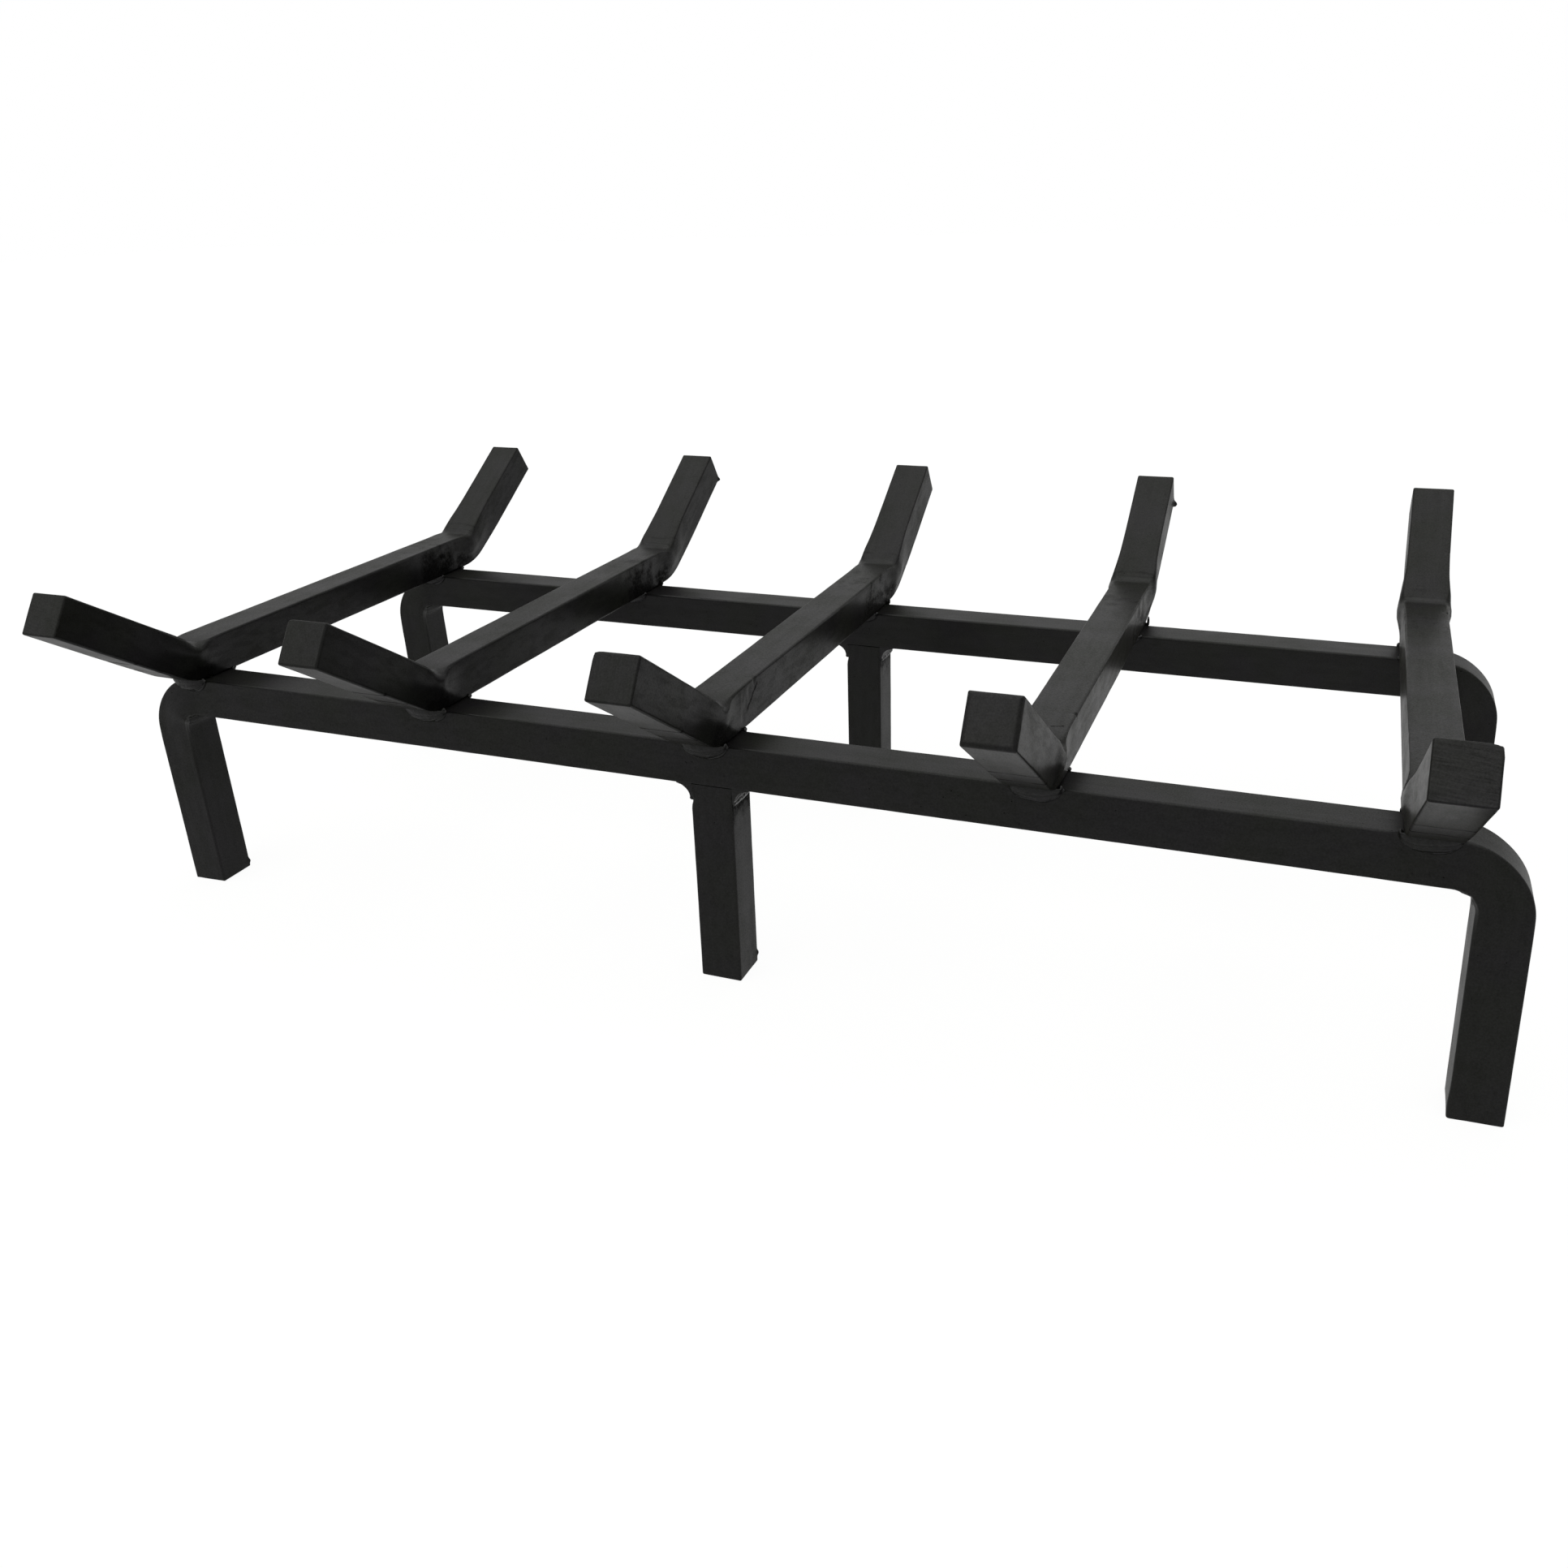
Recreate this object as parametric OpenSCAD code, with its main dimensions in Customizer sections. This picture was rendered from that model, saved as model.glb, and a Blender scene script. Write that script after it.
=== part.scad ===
// Fireplace log grate, welded from one size of square steel bar.
// Two rails run from left to right, and each is bent down at both ends into corner legs.
// A straight leg stands under the middle of each rail. Five log bars lie across both rails,
// with both ends bent up into a cradle that keeps the logs in. Fillet welds join the bars.
// +X runs to the right along the rails, +Y to the back of the hearth, +Z up.
// The origin lies on the hearth, under the middle of the whole grate.

/* [Bar stock] */
// Width and height of the square bar that every piece is cut from
bar_size = 19; // [14:0.5:25]

/* [Log bars] */
// Distance from the middle of one log bar to the middle of the next
bar_pitch = 137; // [110:1:170]
// Length of a log bar's flat middle, from corner to corner of its two bends
cradle_length = 224; // [218:1:280]
// Length of a bent-up end along its top face, from the corner of the bend
end_length = 76; // [45:1:120]
// Angle that the ends are bent up from the flat
end_angle = 33; // [20:1:50]
// Radius of the bend on its inner side, towards the logs
end_bend_radius = 14; // [8:1:20]
// Distance from the front rail's front face back to the corner of the front bend
front_bend_setback = 0; // [0:0.5:10]

/* [Rails and legs] */
// Clear distance between the front rail and the rear rail
rail_gap = 174; // [140:1:180]
// Height of the underside of both rails above the hearth
leg_height = 92; // [60:1:150]
// Distance from the first log bar's middle to the outer face of the left legs
left_overhang = 26.5; // [22:0.5:60]
// Distance from the last log bar's middle to the outer face of the right legs
right_overhang = 35.5; // [22:0.5:60]
// Radius of the rail's bends on their inner side
leg_bend_radius = 8.5; // [4:0.5:15]
// Angle by which the left legs lean in towards the middle at the foot
left_leg_lean = 2.5; // [0:0.5:5]
// Angle by which the right legs lean out at the foot
right_leg_lean = 1.5; // [0:0.5:5]
// Distance of the centre legs to the right of the middle log bar
centre_leg_offset = 2; // [-20:0.5:20]

/* [Welds] */
// Depth that a log bar's weld runs down the side of the rail
bar_weld_depth = 6.5; // [4:0.5:9]
// Distance that a log bar's weld runs past each side of the bar
bar_weld_overrun = 1.2; // [0.5:0.1:3]
// Height that a log bar's weld climbs beside the bar
bar_weld_climb = 3; // [1:0.5:5]
// Width and height of the hollow fillet welds at the top of the centre legs
leg_weld_size = 7.5; // [4:0.5:12]
// Thickness of the centre leg welds at their two toes
leg_weld_toe = 0.5; // [0.3:0.1:1]
// Distance that the centre leg welds stop short of the bar's front and back faces
leg_weld_setback = 1; // [0:0.5:4]

/* [Hidden] */
$fn = 48;

BAR_COUNT = 5;
BEND_STEPS = 12;
FRONT = -1;
BACK = 1;
LEFT = -1;
RIGHT = 1;
STEEL = "#2a2b2a";
WELD = "#353534";

half_bar = bar_size / 2;
rail_top = leg_height + bar_size;

// How far the legs reach past the centre of their bend, at the bend or at the foot
leg_outer_radius = leg_bend_radius + bar_size;
leg_bend_height = leg_height - leg_bend_radius;
left_reach = leg_outer_radius;
right_reach = leg_outer_radius / cos(right_leg_lean) + leg_bend_height * tan(right_leg_lean);

// Left to right: the places are first counted from the first log bar's middle
bars_width = bar_pitch * (BAR_COUNT - 1);
left_bend_from_bar = -left_overhang + leg_outer_radius;
right_bend_from_bar = bars_width + right_overhang - leg_outer_radius;
left_side_from_bar = left_bend_from_bar - left_reach;
right_side_from_bar = right_bend_from_bar + right_reach;
first_bar_x = -(left_side_from_bar + right_side_from_bar) / 2;
left_bend_x = first_bar_x + left_bend_from_bar;
right_bend_x = first_bar_x + right_bend_from_bar;
middle_bar_x = first_bar_x + bars_width / 2;
centre_leg_x = middle_bar_x + centre_leg_offset;

// Front to back: the middle of the log bars lies at y = 0
front_rail_y = -cradle_length / 2 - front_bend_setback + half_bar;
rear_rail_y = front_rail_y + bar_size + rail_gap;

// The sphere whose cap makes a log bar's weld bulge out of the corner under the bar
bar_weld_half_width = half_bar + bar_weld_overrun;
bar_weld_inset = (pow(bar_weld_half_width, 2) - pow(bar_weld_depth, 2)) / (2 * bar_weld_depth);
bar_weld_radius = sqrt(pow(bar_weld_depth + bar_weld_inset, 2) + pow(bar_weld_inset, 2));

function bar_x(number) = first_bar_x + (number - 1) * bar_pitch;

function reversed(points) = [for (i = [len(points) - 1:-1:0]) points[i]];

function mirrored(points) = [for (point = points) [-point[0], point[1]]];

// Points along one side of a bend, which turns by the given angle from the start angle
function bend_side(centre, radius, start, turn) = [
    for (step = [0:BEND_STEPS])
        let (angle = start + turn * step / BEND_STEPS)
            centre + radius * [cos(angle), sin(angle)]
];

// Side view of half a log bar, from its middle to its bent-up tip: [distance, height]
function log_bar_half() =
    let (
        corner = end_bend_radius * tan(end_angle / 2),
        centre = [cradle_length / 2 - corner, bar_size + end_bend_radius],
        upper = bend_side(centre, end_bend_radius, -90, end_angle),
        lower = bend_side(centre, end_bend_radius + bar_size, -90, end_angle),
        end = (end_length - corner) * [cos(end_angle), sin(end_angle)]
    )
    concat(upper, [upper[BEND_STEPS] + end, lower[BEND_STEPS] + end], reversed(lower));

// Where a leg's side meets the hearth, below the given point
function foot(point, outward_lean) = [point[0] + point[1] * tan(outward_lean), 0];

// Front view of a rail's right end with its leg: [x, height]
function rail_end(bend_x, outward_lean) =
    let (
        centre = [bend_x, leg_bend_height],
        turn = outward_lean - 90,
        outer = bend_side(centre, leg_outer_radius, 90, turn),
        inner = bend_side(centre, leg_bend_radius, 90, turn),
        outer_foot = foot(outer[BEND_STEPS], outward_lean),
        inner_foot = foot(inner[BEND_STEPS], outward_lean)
    )
    concat(outer, [outer_foot, inner_foot], reversed(inner));

// A log bar with both ends bent up
module log_bar(number) {
    half = log_bar_half();
    color(STEEL)
        translate([bar_x(number), 0, rail_top])
            rotate([90, 0, 90])
                linear_extrude(bar_size, center = true)
                    polygon(concat(half, reversed(mirrored(half))));
}

// A rail with its two corner legs, bent from one length of bar
module rail(y) {
    right = rail_end(right_bend_x, right_leg_lean);
    left = mirrored(rail_end(-left_bend_x, -left_leg_lean));
    color(STEEL)
        translate([0, y, 0])
            rotate([90, 0, 0])
                linear_extrude(bar_size, center = true)
                    polygon(concat(right, reversed(left)));
}

// A straight leg that butts against the underside of its rail
module centre_leg(y) {
    color(STEEL)
        translate([centre_leg_x, y, 0])
            linear_extrude(leg_height)
                square(bar_size, center = true);
}

// Weld in the corner between a rail's side face and the underside of a log bar
module bar_weld(number, rail_y, side) {
    face_y = rail_y + side * half_bar;
    near_y = side == BACK ? face_y : face_y - bar_size;
    color(WELD)
        difference() {
            intersection() {
                translate([bar_x(number), face_y - side * bar_weld_inset, rail_top + bar_weld_inset])
                    sphere(r = bar_weld_radius);
                translate([bar_x(number) - bar_size, near_y, leg_height])
                    cube([2 * bar_size, bar_size, bar_size + bar_weld_climb]);
            }
            log_bar(number);
        }
}

// Hollow fillet weld between the underside of a rail and the side of its centre leg
module leg_weld(y, side) {
    hollow = leg_weld_size - leg_weld_toe;
    color(WELD)
        translate([centre_leg_x + side * half_bar, y, leg_height])
            scale([side, 1, -1])
                rotate([90, 0, 0])
                    linear_extrude(bar_size - 2 * leg_weld_setback, center = true)
                        difference() {
                            square(leg_weld_size);
                            translate([leg_weld_size, leg_weld_size])
                                circle(r = hollow);
                        }
}

rail(front_rail_y);  // front_rail
rail(rear_rail_y);  // rear_rail
centre_leg(front_rail_y);  // front_centre_leg
centre_leg(rear_rail_y);  // rear_centre_leg
for (number = [1:BAR_COUNT]) {
    log_bar(number);
    bar_name = str("bar_", number);
    bar_weld(number, front_rail_y, FRONT);
    bar_weld(number, front_rail_y, BACK);
    bar_weld(number, rear_rail_y, FRONT);
    bar_weld(number, rear_rail_y, BACK);
}
leg_weld(front_rail_y, LEFT);  // front_centre_leg_left_weld
leg_weld(front_rail_y, RIGHT);  // front_centre_leg_right_weld
leg_weld(rear_rail_y, LEFT);  // rear_centre_leg_left_weld
leg_weld(rear_rail_y, RIGHT);  // rear_centre_leg_right_weld
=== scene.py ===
# A welded log grate for a fireplace: satin black stove paint over hot rolled square bar, with the
# bends pressed into the bars and small fillet welds where the bars cross.
# +X runs to the right along the rails, +Y to the back of the hearth, +Z up.
# Lengths are in metres. A place on a bar is given as (across, up, along): across its bending
# plane, up towards the inner side of its bends, and along its length.

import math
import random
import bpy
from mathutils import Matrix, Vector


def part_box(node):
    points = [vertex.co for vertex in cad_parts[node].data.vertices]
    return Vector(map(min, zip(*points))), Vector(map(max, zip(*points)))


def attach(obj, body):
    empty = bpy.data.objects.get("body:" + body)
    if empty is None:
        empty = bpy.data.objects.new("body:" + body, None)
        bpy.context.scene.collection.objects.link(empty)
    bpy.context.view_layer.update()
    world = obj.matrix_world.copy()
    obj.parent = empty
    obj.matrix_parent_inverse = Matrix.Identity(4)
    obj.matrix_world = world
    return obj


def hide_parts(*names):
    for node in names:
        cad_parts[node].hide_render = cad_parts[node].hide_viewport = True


bl_info = {
    "name": "Log Grate",
    "version": (1, 0, 0),
    "blender": (4, 5, 0),
    "location": "View3D > Sidebar > Log Grate",
    "description": "Makes a welded log grate of square bar with its paint and a plain studio stage",
    "category": "Add Mesh",
}

import bmesh
import bpy
import numpy as np
from mathutils import Matrix, Vector, noise

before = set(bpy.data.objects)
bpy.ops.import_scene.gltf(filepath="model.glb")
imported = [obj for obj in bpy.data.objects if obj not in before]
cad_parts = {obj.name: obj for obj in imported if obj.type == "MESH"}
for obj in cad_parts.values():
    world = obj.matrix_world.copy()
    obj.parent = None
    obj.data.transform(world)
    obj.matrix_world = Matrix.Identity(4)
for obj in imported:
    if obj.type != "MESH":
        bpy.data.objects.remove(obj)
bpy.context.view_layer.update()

MM = 0.001
BODY = "root"

# The bar stock and the heights of the rails, as the frame has them
leg_low, leg_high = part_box("front_centre_leg")
BAR_SIZE = leg_high.x - leg_low.x
HALF_BAR = BAR_SIZE / 2
RAIL_BOTTOM = leg_high.z
RAIL_TOP = RAIL_BOTTOM + BAR_SIZE
BAR_COUNT = sum(name.startswith("log_bar_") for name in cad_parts)
RAIL_NAMES = ("front_rail", "rear_rail")
SIDES = {"front": -1, "back": 1, "left": -1, "right": 1}
# How far apart along the bars' own axis the paint of one bar and the next is read, so that no
# two bars are marked alike
PLACE_STEP = 0.37

# Steps along one side of a bar's section: two on each half corner, the rest along the flat
SIDE_STEPS = 14
CORNER_STEPS = 2
AROUND = 4 * SIDE_STEPS
# Rings that round a bar's end off
END_STEPS = 4
# How deep a weld sinks into the bars that it joins
SUNK = 0.5 * MM


# ---------------------------------------------------------------- sizes and colours


def length_property(name, description, size, **limits):
    """A length. Its default and its limits are given in millimetres."""
    limits = {label: limit * MM for label, limit in limits.items()}
    return bpy.props.FloatProperty(
        name=name, description=description, default=size * MM, unit="LENGTH", **limits
    )


def angle_property(name, description, degrees):
    """An angle, whose default is given in degrees."""
    return bpy.props.FloatProperty(
        name=name, description=description, default=math.radians(degrees), subtype="ANGLE"
    )


def share_property(name, description, default):
    """A share from 0 to 1."""
    return bpy.props.FloatProperty(
        name=name, description=description, default=default, min=0, max=1, subtype="FACTOR"
    )


def colour_property(name, description, default):
    """A colour as red, green and blue from 0 to 1."""
    return bpy.props.FloatVectorProperty(
        name=name, description=description, default=default, min=0, max=1, subtype="COLOR"
    )


class GrateSteel(bpy.types.PropertyGroup):
    """The shape of the bars: their edges, bends and the marks that rolling and bending left"""

    rolled_edge: length_property(
        "Rolled Edge", "Radius of the rounded edges along the bars", 0.85, min=0.2, max=3
    )
    skin: length_property(
        "Skin", "Depth kept free under the nominal size for the bars' unevenness", 0.06, min=0, max=0.5
    )
    end_angle: angle_property("End Angle", "Angle that the ends of the log bars are bent up", 33)
    end_bend_radius: length_property(
        "End Bend Radius", "Radius of the log bars' bends on their inner side", 14
    )
    leg_bend_radius: length_property(
        "Leg Bend Radius", "Radius of the rails' bends on their inner side", 8.5
    )
    left_leg_lean: angle_property(
        "Left Leg Lean", "Angle by which the left legs lean in towards the middle at the foot", 2.5
    )
    right_leg_lean: angle_property(
        "Right Leg Lean", "Angle by which the right legs lean out at the foot", 1.5
    )
    end_swell: length_property(
        "End Swell",
        "How far the inner side of a log bar's bend is squeezed out past each face",
        2.5,
        min=0,
        max=4,
    )
    leg_swell: length_property(
        "Leg Swell",
        "How far the inner side of a rail's bend is squeezed out past each face",
        1.1,
        min=0,
        max=4,
    )
    crease_depth: length_property(
        "Crease Depth", "Depth of the fine creases across a bend", 0.06, min=0, max=1
    )
    hollow_depth: length_property(
        "Hollow Depth",
        "Height of the long shallow hollows that rolling left along the faces",
        0.05,
        min=0,
        max=0.3,
    )
    fine_step: length_property(
        "Fine Step", "Distance between the mesh's rings at bends and ends", 0.5, min=0.3
    )
    coarse_step: length_property(
        "Coarse Step", "Distance between the mesh's rings on straight stretches", 2.6, min=0.5
    )


class GrateWelds(bpy.types.PropertyGroup):
    """The fillet welds where the bars cross and at the top of the centre legs"""

    overrun: length_property(
        "Overrun", "Distance that a log bar's weld runs past each side of the bar", 1.2
    )
    lip: length_property("Lip", "Height of the step at the toe of a weld", 0.12)
    ripple: length_property("Ripple", "Depth of the ripples round a weld", 0.42)
    leg_weld_size: length_property(
        "Leg Weld Size", "Width and height of the hollow welds at the centre legs", 7.5
    )
    grain: length_property("Grain", "Size of the mesh's cells on the welds", 0.32, min=0.2)


class GratePaint(bpy.types.PropertyGroup):
    """The satin black heat paint"""

    black: colour_property(
        "Black", "Colour of the paint where it lies thick", (0.0058, 0.0048, 0.0066)
    )
    worn_black: colour_property(
        "Worn Black", "Colour of the paint where it is thin or dusty", (0.0108, 0.0114, 0.0092)
    )
    # Also the dark colour of the shade painted near the welds and in the creases
    soot: colour_property(
        "Soot", "Colour of the dull skin round the welds", (0.0030, 0.0029, 0.0030)
    )
    roughness: share_property("Roughness", "Roughness of the paint under its satin skin", 0.45)
    shine: share_property("Shine", "Specular level of the paint under its satin skin", 0.003)
    skin: share_property(
        "Satin Skin", "How strong the satin skin of the paint is on a clean face", 0.25
    )
    dust: share_property(
        "Dust", "How much fine warm dust lies on the paint, which shows at flat angles", 0.02
    )
    skin_roughness: share_property("Satin Skin Roughness", "Roughness of the satin skin", 0.29)


class GrateStage(bpy.types.PropertyGroup):
    """The plain floor, the soft light and the camera"""

    floor_colour: colour_property("Floor Colour", "Colour of the pale floor", (0.80, 0.80, 0.79))
    floor_size: bpy.props.FloatProperty(
        name="Floor Size", description="Width and depth of the floor", default=16, unit="LENGTH"
    )
    floor_shade: share_property(
        "Floor Shade", "How much of the floor's own light and shadow the camera sees", 0.12
    )
    floor_lift: bpy.props.FloatProperty(
        name="Floor Lift",
        description="Brightness of the floor's white, where 1 is plain white",
        default=1.07,
        min=0,
        max=2,
    )
    lamp_strength: bpy.props.FloatProperty(
        name="Lamp Strength",
        description="Strength of all the soft lamps together, where 1 is the plain level",
        default=1.0,
        min=0,
        max=4,
    )
    camera_place: bpy.props.FloatVectorProperty(
        name="Camera Place",
        description="Where the camera stands",
        default=(0.22879, -0.57890, 0.32402),
        subtype="TRANSLATION",
        unit="LENGTH",
    )
    camera_turn: bpy.props.FloatVectorProperty(
        name="Camera Turn",
        description="The camera's tilt up, its roll, and its turn to the left",
        default=(math.radians(-21.714), math.radians(-1.890), math.radians(22.478)),
        subtype="EULER",
        unit="ROTATION",
    )
    lens: bpy.props.FloatProperty(
        name="Lens",
        description="Focal length on a sensor 36 mm wide, in millimetres",
        default=31.481,
        unit="CAMERA",
    )
    shift: bpy.props.FloatVectorProperty(
        name="Shift",
        description="The lens's shift to the right and up, as a share of the picture",
        default=(-0.00747, -0.03524),
        size=2,
    )


# ---------------------------------------------------------------- small helpers


def smooth_step(values):
    """Rises smoothly from 0 to 1 as values go from 0 to 1."""
    clipped = np.clip(values, 0, 1)
    return clipped * clipped * (3 - 2 * clipped)


def ridge(distance, width):
    """1 along a line, falling to 0 at either side of it."""
    return np.exp(-((distance / width) ** 2))


def lumps(points, size, seed):
    """Smooth noise between -1 and 1 at each point; size is one length or one for each axis."""
    shift = np.array((seed * 17.3, seed * 5.1, seed * 9.7))
    return np.array([noise.noise(Vector(point)) for point in points / size + shift])


def mesh_of(name, points, faces):
    """A mesh whose faces all look outwards."""
    mesh = bpy.data.meshes.new(name)
    mesh.from_pydata(points, [], faces)
    mesh.validate()
    work = bmesh.new()
    work.from_mesh(mesh)
    bmesh.ops.recalc_face_normals(work, faces=work.faces)
    work.to_mesh(mesh)
    work.free()
    return mesh


def show(name, data):
    """Adds an object to the scene."""
    shown = bpy.data.objects.new(name, data)
    bpy.context.scene.collection.objects.link(shown)
    return shown


def hand_over(node, points, faces, material, values):
    """Makes a smooth finished piece with its values as attributes of its points and its finish, hangs
    it on its body, and hides the node that it stands for."""
    name = f"painted_{node}"
    mesh = mesh_of(name, points, faces)
    for label, numbers in values.items():
        numbers = np.asarray(numbers, np.float32)
        kind, field = ("FLOAT", "value") if numbers.ndim == 1 else ("FLOAT_VECTOR", "vector")
        attribute = mesh.attributes.new(label, kind, "POINT")
        attribute.data.foreach_set(field, numbers.ravel())
    mesh.polygons.foreach_set("use_smooth", np.ones(len(mesh.polygons), bool))
    mesh.materials.append(material)
    piece = show(name, mesh)
    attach(piece, BODY)
    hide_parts(node)


def tube_faces(rings, around):
    """The faces between a row of closed rings that have the same number of points."""
    faces = []
    for start in range(0, (rings - 1) * around, around):
        for k in range(around):
            after = (k + 1) % around
            faces.append((start + k, start + after, start + around + after, start + around + k))
    return faces


# ---------------------------------------------------------------- the unbent bar


def section_side(half, radius):
    """The lower side of a rounded square, from the middle of one corner to the next.

    Returns points (across, up) and the directions that face out of them.
    """
    flat = half - radius
    margin = min(0.5 * MM, flat / 4)
    points, outward = [], []
    corner_turn = math.pi / 4 / CORNER_STEPS

    def corner_point(centre, angle):
        direction = (math.cos(angle), math.sin(angle))
        points.append((centre + radius * direction[0], -flat + radius * direction[1]))
        outward.append(direction)

    for step in range(CORNER_STEPS):
        corner_point(-flat, 1.25 * math.pi + step * corner_turn)
    turns = np.linspace(-math.pi / 2, math.pi / 2, SIDE_STEPS - 2 * CORNER_STEPS - 1)
    inner_marks = (flat - margin) * np.sin(turns)
    for mark in [-flat, *inner_marks, flat]:
        points.append((mark, -half))
        outward.append((0, -1))
    for step in range(1, CORNER_STEPS):
        corner_point(flat, 1.5 * math.pi + step * corner_turn)
    return np.array(points), np.array(outward)


def section(half, radius):
    """A rounded square as four sides, each turned a quarter on from the last."""
    points, outward = section_side(half, radius)
    all_points, all_outward = [points], [outward]
    for _ in range(3):
        points = np.stack([-points[:, 1], points[:, 0]], 1)
        outward = np.stack([-outward[:, 1], outward[:, 0]], 1)
        all_points.append(points)
        all_outward.append(outward)
    return np.concatenate(all_points), np.concatenate(all_outward)


def cap_points(outline):
    """Points across a cut end: a grid blended from the four sides of its outline."""
    sides = outline.reshape(4, SIDE_STEPS, 2)
    closed = [np.vstack([sides[k], sides[(k + 1) % 4][:1]]) for k in range(4)]
    low, right, high, left = closed[0], closed[1], closed[2][::-1], closed[3][::-1]
    share_u = (low[:, 0] - low[0, 0]) / (low[-1, 0] - low[0, 0])
    share_v = (left[:, 1] - left[0, 1]) / (left[-1, 1] - left[0, 1])
    grid = np.zeros((SIDE_STEPS + 1, SIDE_STEPS + 1, 2))
    for i, u in enumerate(share_u):
        for j, v in enumerate(share_v):
            across = (1 - u) * left[j] + u * right[j]
            up = (1 - v) * low[i] + v * high[i]
            corners = (1 - v) * ((1 - u) * low[0] + u * low[-1])
            corners = corners + v * ((1 - u) * high[0] + u * high[-1])
            grid[i, j] = across + up - corners
    return grid


def cap_index(i, j, ring_start, cap_start):
    """The number of a cut end's grid point, which is the ring's own where the two meet."""
    last = SIDE_STEPS
    if j == 0 and i < last:
        return ring_start + i
    if i == last and j < last:
        return ring_start + last + j
    if j == last and i > 0:
        return ring_start + 2 * last + (last - i)
    if i == 0:
        return ring_start + (3 * last + (last - j)) % AROUND
    return cap_start + (i - 1) * (last - 1) + (j - 1)


def ring_places(length, bends, end_rounds, steel):
    """(along, inset, tilt) of each ring: close together at bends and ends, and rounded off there."""
    reach, spread = 35 * MM, 10 * MM
    marks = [end_rounds[0]]
    while marks[-1] < length - end_rounds[1]:
        near = [abs(marks[-1] - bend) for bend in bends]
        near += [marks[-1] + reach * 0.85, length - marks[-1] + reach * 0.85]
        wide = float(smooth_step((min(near) - reach) / spread))
        marks.append(marks[-1] + steel.fine_step + (steel.coarse_step - steel.fine_step) * wide)
    marks = np.array(marks)
    span = length - end_rounds[0] - end_rounds[1]
    marks = end_rounds[0] + (marks - marks[0]) / (marks[-1] - marks[0]) * span
    places = [(mark, 0, 0) for mark in marks]
    for step in range(1, END_STEPS + 1):
        angle = math.pi / 2 * step / END_STEPS
        ahead, inset = 1 - math.sin(angle), 1 - math.cos(angle)
        places.insert(0, (end_rounds[0] * ahead, end_rounds[0] * inset, -angle))
        places.append((length - end_rounds[1] * ahead, end_rounds[1] * inset, angle))
    return places


def straight_bar(length, bends, end_rounds, steel):
    """The unbent bar: its points, their outward directions, its faces, and how near each point
    lies to an edge and to a cut end."""
    half = HALF_BAR - steel.skin
    points, outward, edge, cut = [], [], [], []
    corner = np.zeros(SIDE_STEPS)
    corner[: CORNER_STEPS + 1] = (1, 0.9, 0.45)
    corner[-CORNER_STEPS:] = (0.45, 0.9)
    rings = ring_places(length, bends, end_rounds, steel)
    for along, inset, tilt in rings:
        radius = max(steel.rolled_edge - inset, 0.25 * MM)
        outline, facing = section(half - inset, radius)
        points += [(u, v, along) for u, v in outline]
        outward += [(u * math.cos(tilt), v * math.cos(tilt), math.sin(tilt)) for u, v in facing]
        edge += list(np.maximum(np.tile(corner, 4), min(1, abs(math.sin(2 * tilt)))))
        cut += [0.0 if abs(tilt) < 1 else 1.0] * AROUND
    faces = tube_faces(len(rings), AROUND)
    for ring, along, facing in ((0, 0.0, -1), (len(rings) - 1, length, 1)):
        ring_start, cap_start = ring * AROUND, len(points)
        grid = cap_points(np.array(points[ring_start : ring_start + AROUND])[:, :2])
        inner = grid[1:-1, 1:-1].reshape(-1, 2)
        points += [(u, v, along) for u, v in inner]
        outward += [(0, 0, facing)] * len(inner)
        edge += [0.0] * len(inner)
        cut += [1.0] * len(inner)
        for i in range(SIDE_STEPS):
            for j in range(SIDE_STEPS):
                square = ((i, j), (i + 1, j), (i + 1, j + 1), (i, j + 1))
                faces.append(tuple(cap_index(*at, ring_start, cap_start) for at in square))
    return np.array(points), np.array(outward), faces, np.array(edge), np.array(cut)


# ---------------------------------------------------------------- bending the bar


def lay_path(start, heading, stretches):
    """A bent bar's centre line in its own plane, from (length, turn) of each stretch.

    Returns rows of (along, x, y, heading, turn per length), and the whole length.
    """
    rows, along, point = [], 0.0, np.array(start, float)
    for length, turn in stretches:
        rows.append((along, *point, heading, turn / length))
        place, heading = path_at(np.array(rows), np.array([along + length]))
        point, heading = place[0], heading[0]
        along += length
    return np.array(rows), along


def path_at(path, along):
    """Points and headings of a centre line at distances along it."""
    row = np.clip(np.searchsorted(path[:, 0], along, side="right") - 1, 0, len(path) - 1)
    run = along - path[row, 0]
    start, curl = path[row, 3], path[row, 4]
    heading = start + curl * run
    bent = np.abs(curl) > 1e-6
    safe = np.where(bent, curl, 1.0)
    ahead = np.where(bent, (np.sin(heading) - np.sin(start)) / safe, run * np.cos(start))
    aside = np.where(bent, (np.cos(start) - np.cos(heading)) / safe, run * np.sin(start))
    return np.stack([path[row, 1] + ahead, path[row, 2] + aside], 1), heading


def bend_middles(path):
    """(middle along, side of the free end) of each of the two bends in a centre line."""
    ends = np.append(path[1:, 0], np.inf)
    found = [(row[0] + stop) / 2 for row, stop in zip(path, ends) if abs(row[4]) > 1e-6]
    return list(zip(found, (-1, 1)))
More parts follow.
